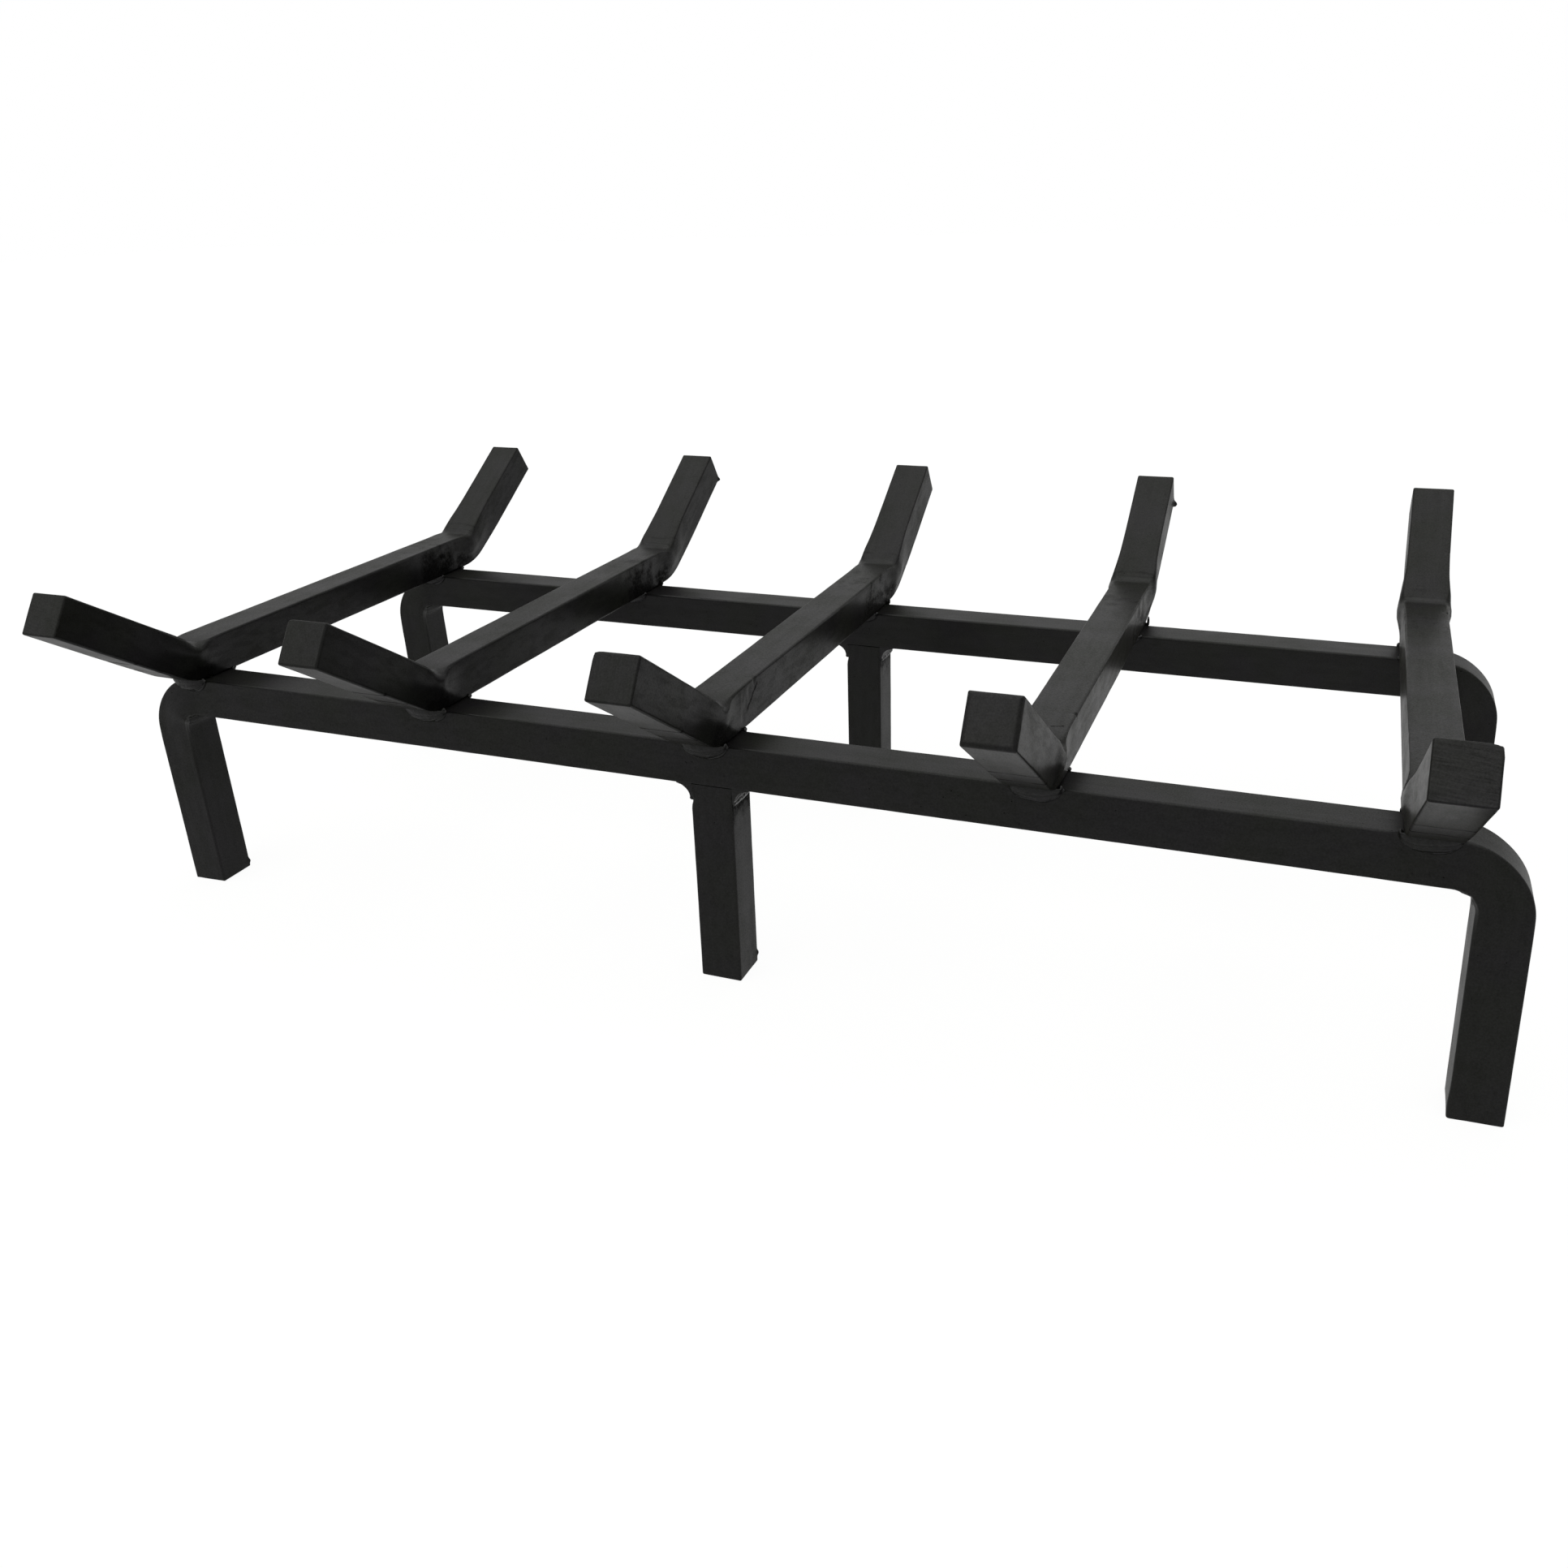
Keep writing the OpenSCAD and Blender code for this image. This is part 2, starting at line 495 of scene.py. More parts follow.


# How a bend came out. free and fixed: how far its swelling reaches along the bent-off end and
# along the rest. pull: how far its outer side is drawn in. soft: radius of its inner edges, and
# soft_reach: how far that goes along them. press: how far its inner side is pressed in. marks:
# places of the dark lines across its outer side, past the middle of the bend. fold: height of
# the folded skin on its inner side. creases: their places past the middle of the bend. rim: how
# strongly a highlight is painted along its front inner edge, as more satin skin
BEND_LOOKS = {
    "log_bar": {
        "free": 18 * MM,
        "fixed": 11 * MM,
        "pull": 0.35 * MM,
        "soft": 4.2 * MM,
        "soft_reach": 8 * MM,
        "press": 0.8 * MM,
        "marks": (18 * MM, 33.5 * MM),
        "fold": 0,
        "creases": (2.1 * MM, 15.8 * MM),
        "rim": 0,
    },
    "rail": {
        "free": 11 * MM,
        "fixed": 11 * MM,
        "pull": 0.9 * MM,
        "soft": 2.4 * MM,
        "soft_reach": 9 * MM,
        "press": 0,
        "marks": (),
        "fold": 0.55 * MM,
        "creases": (-11 * MM,),
        "rim": 0.8,
    },
}
# How a log bar's rear bend differs: it came out rounder, with fainter creases
REAR_BEND = {"press": 0, "soft": 3.2 * MM, "creases": (4.5 * MM, 9.5 * MM)}


def soften_edges(points, radius):
    """Rounds the two inner edges of a bar off to a radius that may differ along it."""
    flat = HALF_BAR - radius
    apart = np.stack([np.abs(points[:, 0]) - flat, points[:, 1] - flat], 1)
    reach = np.linalg.norm(apart, axis=1)
    beyond = (apart > 0).all(axis=1) & (reach > radius)
    scale = np.where(beyond, radius / np.maximum(reach, 0.01 * MM), 1)
    points[:, 0] = np.where(beyond, np.sign(points[:, 0]) * (flat + apart[:, 0] * scale), points[:, 0])
    points[:, 1] = np.where(beyond, flat + apart[:, 1] * scale, points[:, 1])


def folded_skin(past, width):
    """The inner skin of a sharp bend: pushed up at both sides of a fold, in the shape of a smile."""
    free_roll = ridge(past - 6.5 * MM + 3.0 * MM * width**2, 3.0 * MM)
    fixed_roll = ridge(past + 6.0 * MM, 2.6 * MM)
    valley = ridge(past - 0.8 * MM, 2.0 * MM) * (1 - 0.4 * width**2)
    return free_roll + 0.6 * fixed_roll - 1.3 * valley


def work_bend(points, outward, bend, look, swell, steel, seed):
    """Squeezes the inner side of one bend out sideways, and folds and creases its skin.

    Returns the moved points, how close each lies to a crease, and how strongly a highlight is painted on it."""
    middle, free_end = bend
    past = (points[:, 2] - middle) * free_end
    level = points[:, 1] / HALF_BAR
    width = points[:, 0] / HALF_BAR
    near = ridge(past, np.where(past > 0, look["free"], look["fixed"]))
    inner = np.clip((level + 0.25) / 1.25, 0, 1) ** 1.4
    outer = np.clip(-level, 0, 1)
    uneven = 1 + 0.25 * lumps(points, 9 * MM, seed)
    tight = ridge(past, look["soft_reach"])
    soften_edges(points, steel.rolled_edge + (look["soft"] - steel.rolled_edge) * tight)
    belly = ridge(level - 0.35, 0.8)
    points[:, 0] += width * near * (swell * belly * uneven - 0.25 * swell * outer)
    points[:, 1] += look["pull"] * near * outer
    points[:, 1] -= look["press"] * ridge(past, 9.5 * MM) * inner**2
    rng = random.Random(seed)
    lines = np.zeros(len(points))
    for place in look["creases"]:
        bow = rng.uniform(-1.8, 1.8) * MM
        line = past - place - rng.uniform(-0.8, 0.8) * MM - bow * width**2
        line = line - 0.35 * MM * lumps(points, 5 * MM, seed + place / MM)
        strength = np.clip(0.55 + 1.3 * lumps(points, 6 * MM, seed - place / MM), 0, 1)
        lines = np.maximum(lines, 0.35 * strength * ridge(line, 0.6 * MM) * (level > 0.9))
    for place in look["marks"]:
        line = past - place - 0.8 * MM * lumps(points, 7 * MM, seed + 31 + place / MM)
        strength = np.clip(1.0 + 1.5 * lumps(points, 7 * MM, seed + 5 + place / MM), 0, 1.6)
        lines = np.maximum(lines, strength * ridge(line, 0.85 * MM) * (level < -0.9))
    height = look["fold"] * folded_skin(past, width) * smooth_step((level - 0.7) / 0.3)
    height -= steel.crease_depth * lines
    # A highlight painted along the front inner edge of a rail's bend, as more satin skin there
    rim = look["rim"] * ridge(past - 7 * MM, 10 * MM) * (level > 0.9) * (width < -0.9)
    return points + outward * height[:, None], np.clip(lines, 0, 1), rim


def weather(points, outward, edge, cut, steel, seed):
    """Adds the unevenness of hot rolled bar: long hollows, low lumps and uneven edges."""
    streak = lumps(points, np.array((7, 7, 60)) * MM, seed)
    wave = lumps(points, 22 * MM, seed + 1)
    nick = lumps(points, 7 * MM, seed + 2)
    height = steel.hollow_depth * (streak + 0.9 * wave) * (1 - cut)
    height += 0.05 * MM * nick * edge
    height += 0.02 * MM * wave * cut
    limit = steel.skin * 0.9
    return points + outward * np.clip(height, -3 * limit, limit)[:, None]


def add_flaws(points, outward, flaws):
    """Raises drips and sinks notches: each flaw is (across, up, along, size, height)."""
    push = outward * np.array((1, 1, 0))
    for across, up, along, size, height in flaws:
        centre = np.array((across * HALF_BAR, up * HALF_BAR, along))
        apart = np.linalg.norm(points - centre, axis=1)
        points = points + push * (height * ridge(apart, size))[:, None]
    return points


def make_bar(node, middle, path, length, end_rounds, flaws, seed, saw, bend_kind=None):
    """Makes a painted bar that follows a centre line.

    middle is where the centre line's plane stands. saw is the angle of the saw's lines on the
    cut ends and how deep they are.
    """
    steel = bpy.context.scene.grate_steel
    swell = steel.leg_swell if bend_kind == "rail" else steel.end_swell
    bends = bend_middles(path)
    unbent, outward, faces, edge, cut = straight_bar(
        length, [bend[0] for bend in bends], end_rounds, steel
    )
    points = weather(unbent, outward, edge, cut, steel, seed)
    crease, painted_highlight = np.zeros(len(points)), np.zeros(len(points))
    for number, bend in enumerate(bends):
        look = BEND_LOOKS[bend_kind]
        if bend_kind == "log_bar" and number == 1:
            look = {**look, **REAR_BEND}
        points, lines, rim = work_bend(points, outward, bend, look, swell, steel, seed + 40 * number)
        crease, painted_highlight = np.maximum(crease, lines), np.maximum(painted_highlight, rim)
    points = add_flaws(points, outward, flaws)
    centre, heading = path_at(path, points[:, 2])
    inward = np.stack([-np.sin(heading), np.cos(heading)], 1)
    plane = centre + inward * points[:, 1:2]
    if bend_kind == "log_bar":
        flat = (middle.x + points[:, 0], plane[:, 0])
    else:
        flat = (middle.x + plane[:, 0], middle.y + points[:, 0])
    world = np.stack([*flat, np.maximum(plane[:, 1], 0)], 1)
    across, up = unbent[:, 0], unbent[:, 1]
    cosine, sine = math.cos(saw[0]), math.sin(saw[0])
    saw_place = [across * sine + up * cosine, across * cosine - up * sine, np.full(len(unbent), saw[1])]
    masks = {
        "bar_place": unbent + np.array((0, 0, PLACE_STEP * (seed - 30))),
        "edge": edge if bend_kind == "log_bar" else 0.3 * edge,
        "cut_end": cut,
        # Shade painted on the bars near the welds, more on some faces than on others
        "flakes_and_shade": weld_shade_near(world) * weld_shade_faces(outward, bend_kind),
        "crease": crease,
        "painted_highlight": painted_highlight,
        "side_face": (np.abs(outward[:, 0]) > 0.9) * (1.0 if bend_kind == "log_bar" else 0.3),
        "saw": np.stack(saw_place, 1),
    }
    hand_over(node, world, faces, stove_paint(), masks)


def weld_shade_faces(outward, bend_kind):
    """How readily each face takes the shade painted near the welds: log bars nearly all round but for
    the underside, centre legs on the two welded sides, and rails hardly at all."""
    if bend_kind == "log_bar":
        return np.select([outward[:, 1] < -0.6, outward[:, 1] > 0.9], [0.2, 0.8], 1.0)
    if bend_kind == "rail":
        return np.full(len(outward), 0.2)
    return np.where(np.abs(outward[:, 1]) > 0.9, 1.0, 0.2)


def weld_shade_near(world):
    """How close each point is to a weld, from 0 to 1, which is where shade is painted on the bars. The
    painted shade reaches furthest in front of the rear rail, and none is painted by the welds at the
    back of the front rail."""
    nearest = np.full(len(world), np.inf)
    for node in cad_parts:
        if node.endswith("_weld") and not node.endswith("front_rail_back_weld"):
            low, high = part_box(node)
            gap = np.maximum(np.maximum(np.array(low) - world, world - np.array(high)), 0)
            reach = 15 * MM if node.endswith("rear_rail_front_weld") else 7 * MM
            nearest = np.minimum(nearest, np.linalg.norm(gap, axis=1) / reach)
    return np.exp(-nearest)


# ---------------------------------------------------------------- node helpers


def put(tree, kind, inputs=(), **settings):
    """Adds a node, with its settings, and its inputs linked or set by name or number."""
    made = tree.nodes.new(kind)
    for name, value in settings.items():
        setattr(made, name, value)
    for name, value in dict(inputs).items():
        if isinstance(value, bpy.types.NodeSocket):
            tree.links.new(value, made.inputs[name])
        else:
            made.inputs[name].default_value = value
    return made


def sums(tree, operation, *values, clamp=False):
    """A Math node's result."""
    inputs = dict(enumerate(values))
    return put(tree, "ShaderNodeMath", inputs, operation=operation, use_clamp=clamp).outputs[0]


def vectors(tree, operation, *values):
    """A Vector Math node's results."""
    inputs = dict(enumerate(values))
    return put(tree, "ShaderNodeVectorMath", inputs, operation=operation).outputs


def remap(tree, value, low, high, out_low=0.0, out_high=1.0):
    """value moved smoothly from between low and high to between out_low and out_high."""
    inputs = {"Value": value, 1: low, 2: high, 3: out_low, 4: out_high}
    made = put(tree, "ShaderNodeMapRange", inputs, interpolation_type="SMOOTHSTEP")
    return made.outputs["Result"]


def noise_texture(tree, place, scale, detail, roughness=0.5):
    """Smooth noise from 0 to 1 as a value, and as a colour of three values."""
    inputs = {"Vector": place, "Scale": scale, "Detail": detail, "Roughness": roughness}
    return put(tree, "ShaderNodeTexNoise", inputs).outputs


def blend_colours(tree, share, first, second):
    """The first colour, going over to the second as share goes to 1."""
    made = put(tree, "ShaderNodeMix", {0: share, 6: first, 7: second}, data_type="RGBA")
    return made.outputs[2]


def colour_of(values):
    """A colour with full alpha."""
    return (*values, 1.0)


VECTOR_INPUTS = ("Place", "Bar Place", "Centre", "Heading", "Saw")


def start_group(name, inputs):
    """A node group with a socket for each input, and what comes in through them."""
    group = bpy.data.node_groups.new(name, "ShaderNodeTree")
    for label in inputs:
        kind = "NodeSocketVector" if label in VECTOR_INPUTS else "NodeSocketFloat"
        group.interface.new_socket(label, in_out="INPUT", socket_type=kind)
    return group, group.nodes.new("NodeGroupInput").outputs


def finish_group(group, results):
    """Gives a group a socket for each of its results, by name."""
    for label in results:
        group.interface.new_socket(label, in_out="OUTPUT", socket_type="NodeSocketFloat")
    leave = group.nodes.new("NodeGroupOutput")
    for label, result in results.items():
        group.links.new(result, leave.inputs[label])
    return group


def effect(tree, maker, inputs):
    """Places an effect's node group, which is made on first use and named after its maker."""
    name = maker.__name__.replace("_", " ").title()
    group = bpy.data.node_groups.get(name) or maker(name)
    return put(tree, "ShaderNodeGroup", inputs, node_tree=group).outputs


# ---------------------------------------------------------------- shared effects


def paint_grain(name):
    """The fine orange peel of sprayed paint, and its larger clouds."""
    group, given = start_group(name, ["Place", "Grain Size"])
    scale = sums(group, "DIVIDE", 1.0, given["Grain Size"])
    fine = noise_texture(group, given["Place"], scale, 3.0, 0.6)["Fac"]
    wide = noise_texture(group, given["Place"], sums(group, "DIVIDE", scale, 40.0), 2.0, 0.55)["Fac"]
    return finish_group(group, {"Height": fine, "Cloud": remap(group, wide, 0.3, 0.7)})


def stretched_noise(group, given, detail, roughness):
    """Noise in cells of a width and a length that run along a bar."""
    sizes = {"X": given["Width"], "Y": given["Width"], "Z": given["Length"]}
    cell = put(group, "ShaderNodeCombineXYZ", sizes).outputs[0]
    place = vectors(group, "DIVIDE", given["Bar Place"], cell)[0]
    return noise_texture(group, place, 1.0, detail, roughness)["Fac"]


def rolled_streaks(name):
    """Faint streaks that run along a rolled bar under its paint."""
    group, given = start_group(name, ["Bar Place", "Width", "Length"])
    return finish_group(group, {"Height": stretched_noise(group, given, 2.0, 0.5)})


def mill_scale(name):
    """Blotches with ragged borders, where the scale of hot rolled bar shows through the paint."""
    group, given = start_group(name, ["Bar Place", "Width", "Length"])
    blotch = stretched_noise(group, given, 5.0, 0.62)
    return finish_group(group, {"Mask": remap(group, blotch, 0.44, 0.60)})


def paint_pits(name):
    """Small scattered pits where the paint didn't fill the steel's skin."""
    group, given = start_group(name, ["Place", "Spacing", "Share"])
    scale = sums(group, "DIVIDE", 1.0, given["Spacing"])
    cells = put(group, "ShaderNodeTexVoronoi", {"Vector": given["Place"], "Scale": scale})
    round_pit = remap(group, cells.outputs["Distance"], 0.05, 0.12, 1.0, 0.0)
    split = put(group, "ShaderNodeSeparateColor", {"Color": cells.outputs["Color"]})
    chosen = sums(group, "LESS_THAN", split.outputs[0], given["Share"])
    return finish_group(group, {"Pit": sums(group, "MULTIPLY", round_pit, chosen)})


def lap_line(name):
    """A thin ragged line that rolling or bending left on a face: a straight one through a centre."""
    group, given = start_group(name, ["Bar Place", "Centre", "Heading", "Reach", "Width"])
    ragged = noise_texture(group, given["Bar Place"], 1 / (4 * MM), 3.0)["Color"]
    shift = vectors(group, "SUBTRACT", ragged, (0.5, 0.5, 0.5))[0]
    shift = vectors(group, "MULTIPLY", shift, (0.0, 3 * MM, 3 * MM))[0]
    offset = vectors(group, "SUBTRACT", given["Bar Place"], given["Centre"])[0]
    offset = vectors(group, "ADD", offset, shift)[0]
    along = vectors(group, "DOT_PRODUCT", offset, given["Heading"])["Value"]
    lengthwise = vectors(group, "MULTIPLY", given["Heading"], along)[0]
    gap = vectors(group, "LENGTH", vectors(group, "SUBTRACT", offset, lengthwise)[0])["Value"]
    close = remap(group, sums(group, "DIVIDE", gap, given["Width"]), 0.0, 1.0, 1.0, 0.0)
    ends = sums(group, "DIVIDE", sums(group, "ABSOLUTE", along), given["Reach"])
    inside = remap(group, ends, 0.75, 1.0, 1.0, 0.0)
    return finish_group(group, {"Mask": sums(group, "MULTIPLY", close, inside)})


def edge_wear(name):
    """Where paint has drawn thin over an edge, in uneven patches."""
    group, given = start_group(name, ["Edge", "Place", "Patch Size"])
    scale = sums(group, "DIVIDE", 1.0, given["Patch Size"])
    patchy = remap(group, noise_texture(group, given["Place"], scale, 3.0, 0.6)["Fac"], 0.2, 0.6)
    thin = remap(group, given["Edge"], 0.2, 1.0)
    return finish_group(group, {"Mask": sums(group, "MULTIPLY", patchy, thin)})


def saw_lines(name):
    """The lines that a saw left across a cut end, under the paint."""
    group, given = start_group(name, ["Saw", "Pitch"])
    split = put(group, "ShaderNodeSeparateXYZ", {"Vector": given["Saw"]}).outputs
    across = sums(group, "DIVIDE", split["X"], given["Pitch"])
    along = sums(group, "DIVIDE", split["Y"], sums(group, "MULTIPLY", given["Pitch"], 22.0))
    place = put(group, "ShaderNodeCombineXYZ", {"X": across, "Y": along}).outputs[0]
    lines = noise_texture(group, place, 1.0, 2.0, 0.7)["Fac"]
    depth = sums(group, "MULTIPLY", sums(group, "SUBTRACT", lines, 0.5), split["Z"])
    return finish_group(group, {"Height": depth})


def weld_flakes_and_shade(name):
    """The dull, flaky skin round a weld, darker and duller nearer to it. On the bars near the welds this is
    painted shade.
    """
    group, given = start_group(name, ["Nearness", "Place", "Flake Size"])
    scale = sums(group, "DIVIDE", 1.0, given["Flake Size"])
    flakes = noise_texture(group, given["Place"], scale, 4.0, 0.65)["Fac"]
    wide = noise_texture(group, given["Place"], sums(group, "DIVIDE", scale, 4.0), 2.0)["Fac"]
    uneven = sums(group, "ADD", given["Nearness"], remap(group, wide, 0.3, 0.7, -0.16, 0.16))
    speckle = remap(group, flakes, 0.35, 0.55, 0.6, 1.0)
    mask = sums(group, "MULTIPLY", remap(group, uneven, 0.22, 0.72), speckle)
    close = remap(group, given["Nearness"], 0.35, 0.85)
    return finish_group(group, {"Mask": mask, "Height": sums(group, "MULTIPLY", close, flakes)})


# ---------------------------------------------------------------- materials

# Lines on single log bars: the bar, the line's centre and heading as (across, up, along), its
# reach to either side of the centre, and its width
LAP_LINES = (
    (3, (9.4 * MM, 2.2 * MM, 111 * MM), (0, 0.61, 0.79), 8.5 * MM, 1.0 * MM),
    (4, (4.8 * MM, 9.4 * MM, 96.8 * MM), (0.94, 0, 0.34), 2.8 * MM, 0.8 * MM),
)


def carried(tree, label, output="Fac"):
    """A value that the mesh carries at its points."""
    return put(tree, "ShaderNodeAttribute", attribute_name=label).outputs[output]


def raised(tree, *parts):
    """The sum of heights in metres, from (output, height) pairs."""
    total = 0.0
    for output, height in parts:
        total = sums(tree, "ADD", total, sums(tree, "MULTIPLY", output, height))
    return total


def skin_cover(tree, full, *parts):
    """How much of the satin skin is left of the full amount, from (output, its value where it
    takes nothing away, how strongly it counts) of each thing that thins it."""
    total = full
    for output, even, strength in parts:
        part = sums(tree, "MULTIPLY", sums(tree, "SUBTRACT", output, even), strength)
        total = sums(tree, "SUBTRACT", total, part)
    return sums(tree, "MAXIMUM", total, 0.0)


def new_material(name):
    """A material with an empty node tree."""
    material = bpy.data.materials.new(name)
    material.use_nodes = True
    material.node_tree.nodes.clear()
    return material


def painted_surface(tree, colour, roughness, cover, height):
    """The paint's shader: cover is how much of its satin skin is there, height is in metres."""
    paint = bpy.context.scene.grate_paint
    bump = put(tree, "ShaderNodeBump", {"Height": height, "Strength": 1.0, "Distance": 1.0})
    surface = put(
        tree,
        "ShaderNodeBsdfPrincipled",
        {
            "Base Color": colour,
            "Roughness": roughness,
            "Metallic": 0.0,
            "Specular IOR Level": paint.shine,
            "Specular Tint": (1.0, 1.0, 0.94, 1.0),
            "IOR": 1.5,
            "Normal": bump.outputs["Normal"],
            "Coat Weight": sums(tree, "MULTIPLY", cover, paint.skin, clamp=True),
            "Coat Roughness": paint.skin_roughness,
            "Coat IOR": 1.5,
            "Sheen Weight": paint.dust,
            "Sheen Roughness": 0.35,
            "Sheen Tint": (1.0, 0.98, 0.86, 1.0),
        },
    )
    put(tree, "ShaderNodeOutputMaterial", {"Surface": surface.outputs["BSDF"]})


def uneven_roughness(tree, cloud, below, above):
    """The paint's roughness, which wanders with its clouds."""
    roughness = bpy.context.scene.grate_paint.roughness
    return remap(tree, cloud, 0.0, 1.0, roughness - below, roughness + above)


def stove_paint(name="Stove Paint"):
    """Satin black heat paint over the mill skin of the bars."""
    if name in bpy.data.materials:
        return bpy.data.materials[name]
    paint = bpy.context.scene.grate_paint
    material = new_material(name)
    tree = material.node_tree
    place = put(tree, "ShaderNodeTexCoord").outputs["Object"]
    bar_place, cut = carried(tree, "bar_place", "Vector"), carried(tree, "cut_end")
    grain = effect(tree, paint_grain, {"Place": place, "Grain Size": 0.6 * MM})
    sizes = {"Bar Place": bar_place, "Width": 3.2 * MM, "Length": 60 * MM}
    streaks = effect(tree, rolled_streaks, sizes)["Height"]
    pits = effect(tree, paint_pits, {"Place": place, "Spacing": 3.0 * MM, "Share": 0.2})["Pit"]
    sizes = {"Bar Place": bar_place, "Width": 3.5 * MM, "Length": 9 * MM}
    mottle = effect(tree, mill_scale, sizes)["Mask"]
    sizes = {"Edge": carried(tree, "edge"), "Place": place, "Patch Size": 6 * MM}
    wear = effect(tree, edge_wear, sizes)["Mask"]
    sizes = {"Saw": carried(tree, "saw", "Vector"), "Pitch": 0.65 * MM}
    lines = effect(tree, saw_lines, sizes)["Height"]
    # Near the welds the paint is darkened and dulled, with flakes: this paints the shade where the bars meet
    # the rails
    sizes = {"Nearness": carried(tree, "flakes_and_shade"), "Place": place, "Flake Size": 1.6 * MM}
    flakes_and_shade = effect(tree, weld_flakes_and_shade, sizes)
    saw_height = sums(tree, "MULTIPLY", lines, cut)
    pit = sums(tree, "MULTIPLY", pits, sums(tree, "SUBTRACT", 1.0, cut))
    crease = carried(tree, "crease")
    # The lap lines join the creases, and are darkened with them as painted shade along them
    for bar, centre, heading, reach, width in LAP_LINES:
        at = (*centre[:2], centre[2] + PLACE_STEP * bar)
        sizes = {"Bar Place": bar_place, "Centre": at, "Heading": heading, "Reach": reach, "Width": width}
        crease = sums(tree, "MAXIMUM", crease, effect(tree, lap_line, sizes)["Mask"])

    tone = sums(tree, "MULTIPLY", streaks, 0.3)
    tone = sums(tree, "ADD", tone, sums(tree, "MULTIPLY", grain["Cloud"], 0.6))
    tone = sums(tree, "ADD", tone, sums(tree, "MULTIPLY", grain["Height"], 0.2), clamp=True)
    colour = blend_colours(tree, tone, colour_of(paint.black), colour_of(paint.worn_black))
    # Darker at the pits, the creases and near the welds: the pits and the marks on the outer side of a bend
    # are real, while in the creases and near the welds this is painted shade
    dull = sums(tree, "MAXIMUM", sums(tree, "MAXIMUM", flakes_and_shade["Mask"], pit), crease)
    colour = blend_colours(tree, sums(tree, "MULTIPLY", dull, 0.8), colour, colour_of(paint.soot))

    cover = skin_cover(
        tree,
        1.0,
        (flakes_and_shade["Mask"], 0.0, 0.88),
        (pit, 0.0, 0.80),
        (grain["Height"], 0.5, 1.50),
        (grain["Cloud"], 0.5, 0.20),
        (streaks, 0.5, 0.40),
        (mottle, 0.4, 0.05),
        (sums(tree, "MULTIPLY", mottle, carried(tree, "side_face")), 0.0, 0.20),
        (saw_height, 0.0, 1.60),
        # The crease lines lose most of their satin skin: real marks on the outer side of a bend, and painted
        # shade in the creases
        (crease, 0.0, 0.95),
        (wear, 0.0, 0.16),
        # More satin skin where a highlight is painted
        (carried(tree, "painted_highlight"), 0.0, -2.2),
    )
    height = raised(
        tree,
        (grain["Height"], 0.028 * MM),
        (streaks, 0.03 * MM),
        (pit, -0.10 * MM),
        (saw_height, 0.18 * MM),
        (flakes_and_shade["Height"], 0.16 * MM),
    )
    painted_surface(tree, colour, uneven_roughness(tree, grain["Cloud"], 0.04, 0.05), cover, height)
    return material


def weld_paint(name="Weld Paint"):
    """The same paint over the welds, where it lies on rougher metal."""
    if name in bpy.data.materials:
        return bpy.data.materials[name]
    paint = bpy.context.scene.grate_paint
    material = new_material(name)
    tree = material.node_tree
    place = put(tree, "ShaderNodeTexCoord").outputs["Object"]
    grain = effect(tree, paint_grain, {"Place": place, "Grain Size": 0.8 * MM})
    pit = effect(tree, paint_pits, {"Place": place, "Spacing": 2.6 * MM, "Share": 0.35})["Pit"]
    flakes_and_shade = effect(tree, weld_flakes_and_shade, {"Nearness": 1.0, "Place": place, "Flake Size": 1.3 * MM})
    tone = sums(tree, "MULTIPLY", grain["Cloud"], 0.8)
    colour = blend_colours(tree, tone, colour_of(paint.black), colour_of(paint.worn_black))
    dull = sums(tree, "MAXIMUM", pit, sums(tree, "MULTIPLY", flakes_and_shade["Mask"], 0.35))
    colour = blend_colours(tree, dull, colour, colour_of(paint.soot))
    cover = skin_cover(
        tree,
        1.5,
        (flakes_and_shade["Mask"], 0.6, 0.55),
        (pit, 0.0, 0.50),
        (grain["Height"], 0.5, 1.10),
        (grain["Cloud"], 0.5, 0.25),
        # More satin skin where a highlight is painted
        (carried(tree, "painted_highlight"), 0.0, -2.2),
    )
    height = raised(
        tree, (grain["Height"], 0.03 * MM), (pit, -0.14 * MM), (flakes_and_shade["Height"], 0.07 * MM)
    )
    painted_surface(tree, colour, uneven_roughness(tree, grain["Cloud"], 0.05, 0.06), cover, height)
    return material


# ---------------------------------------------------------------- rails and centre legs


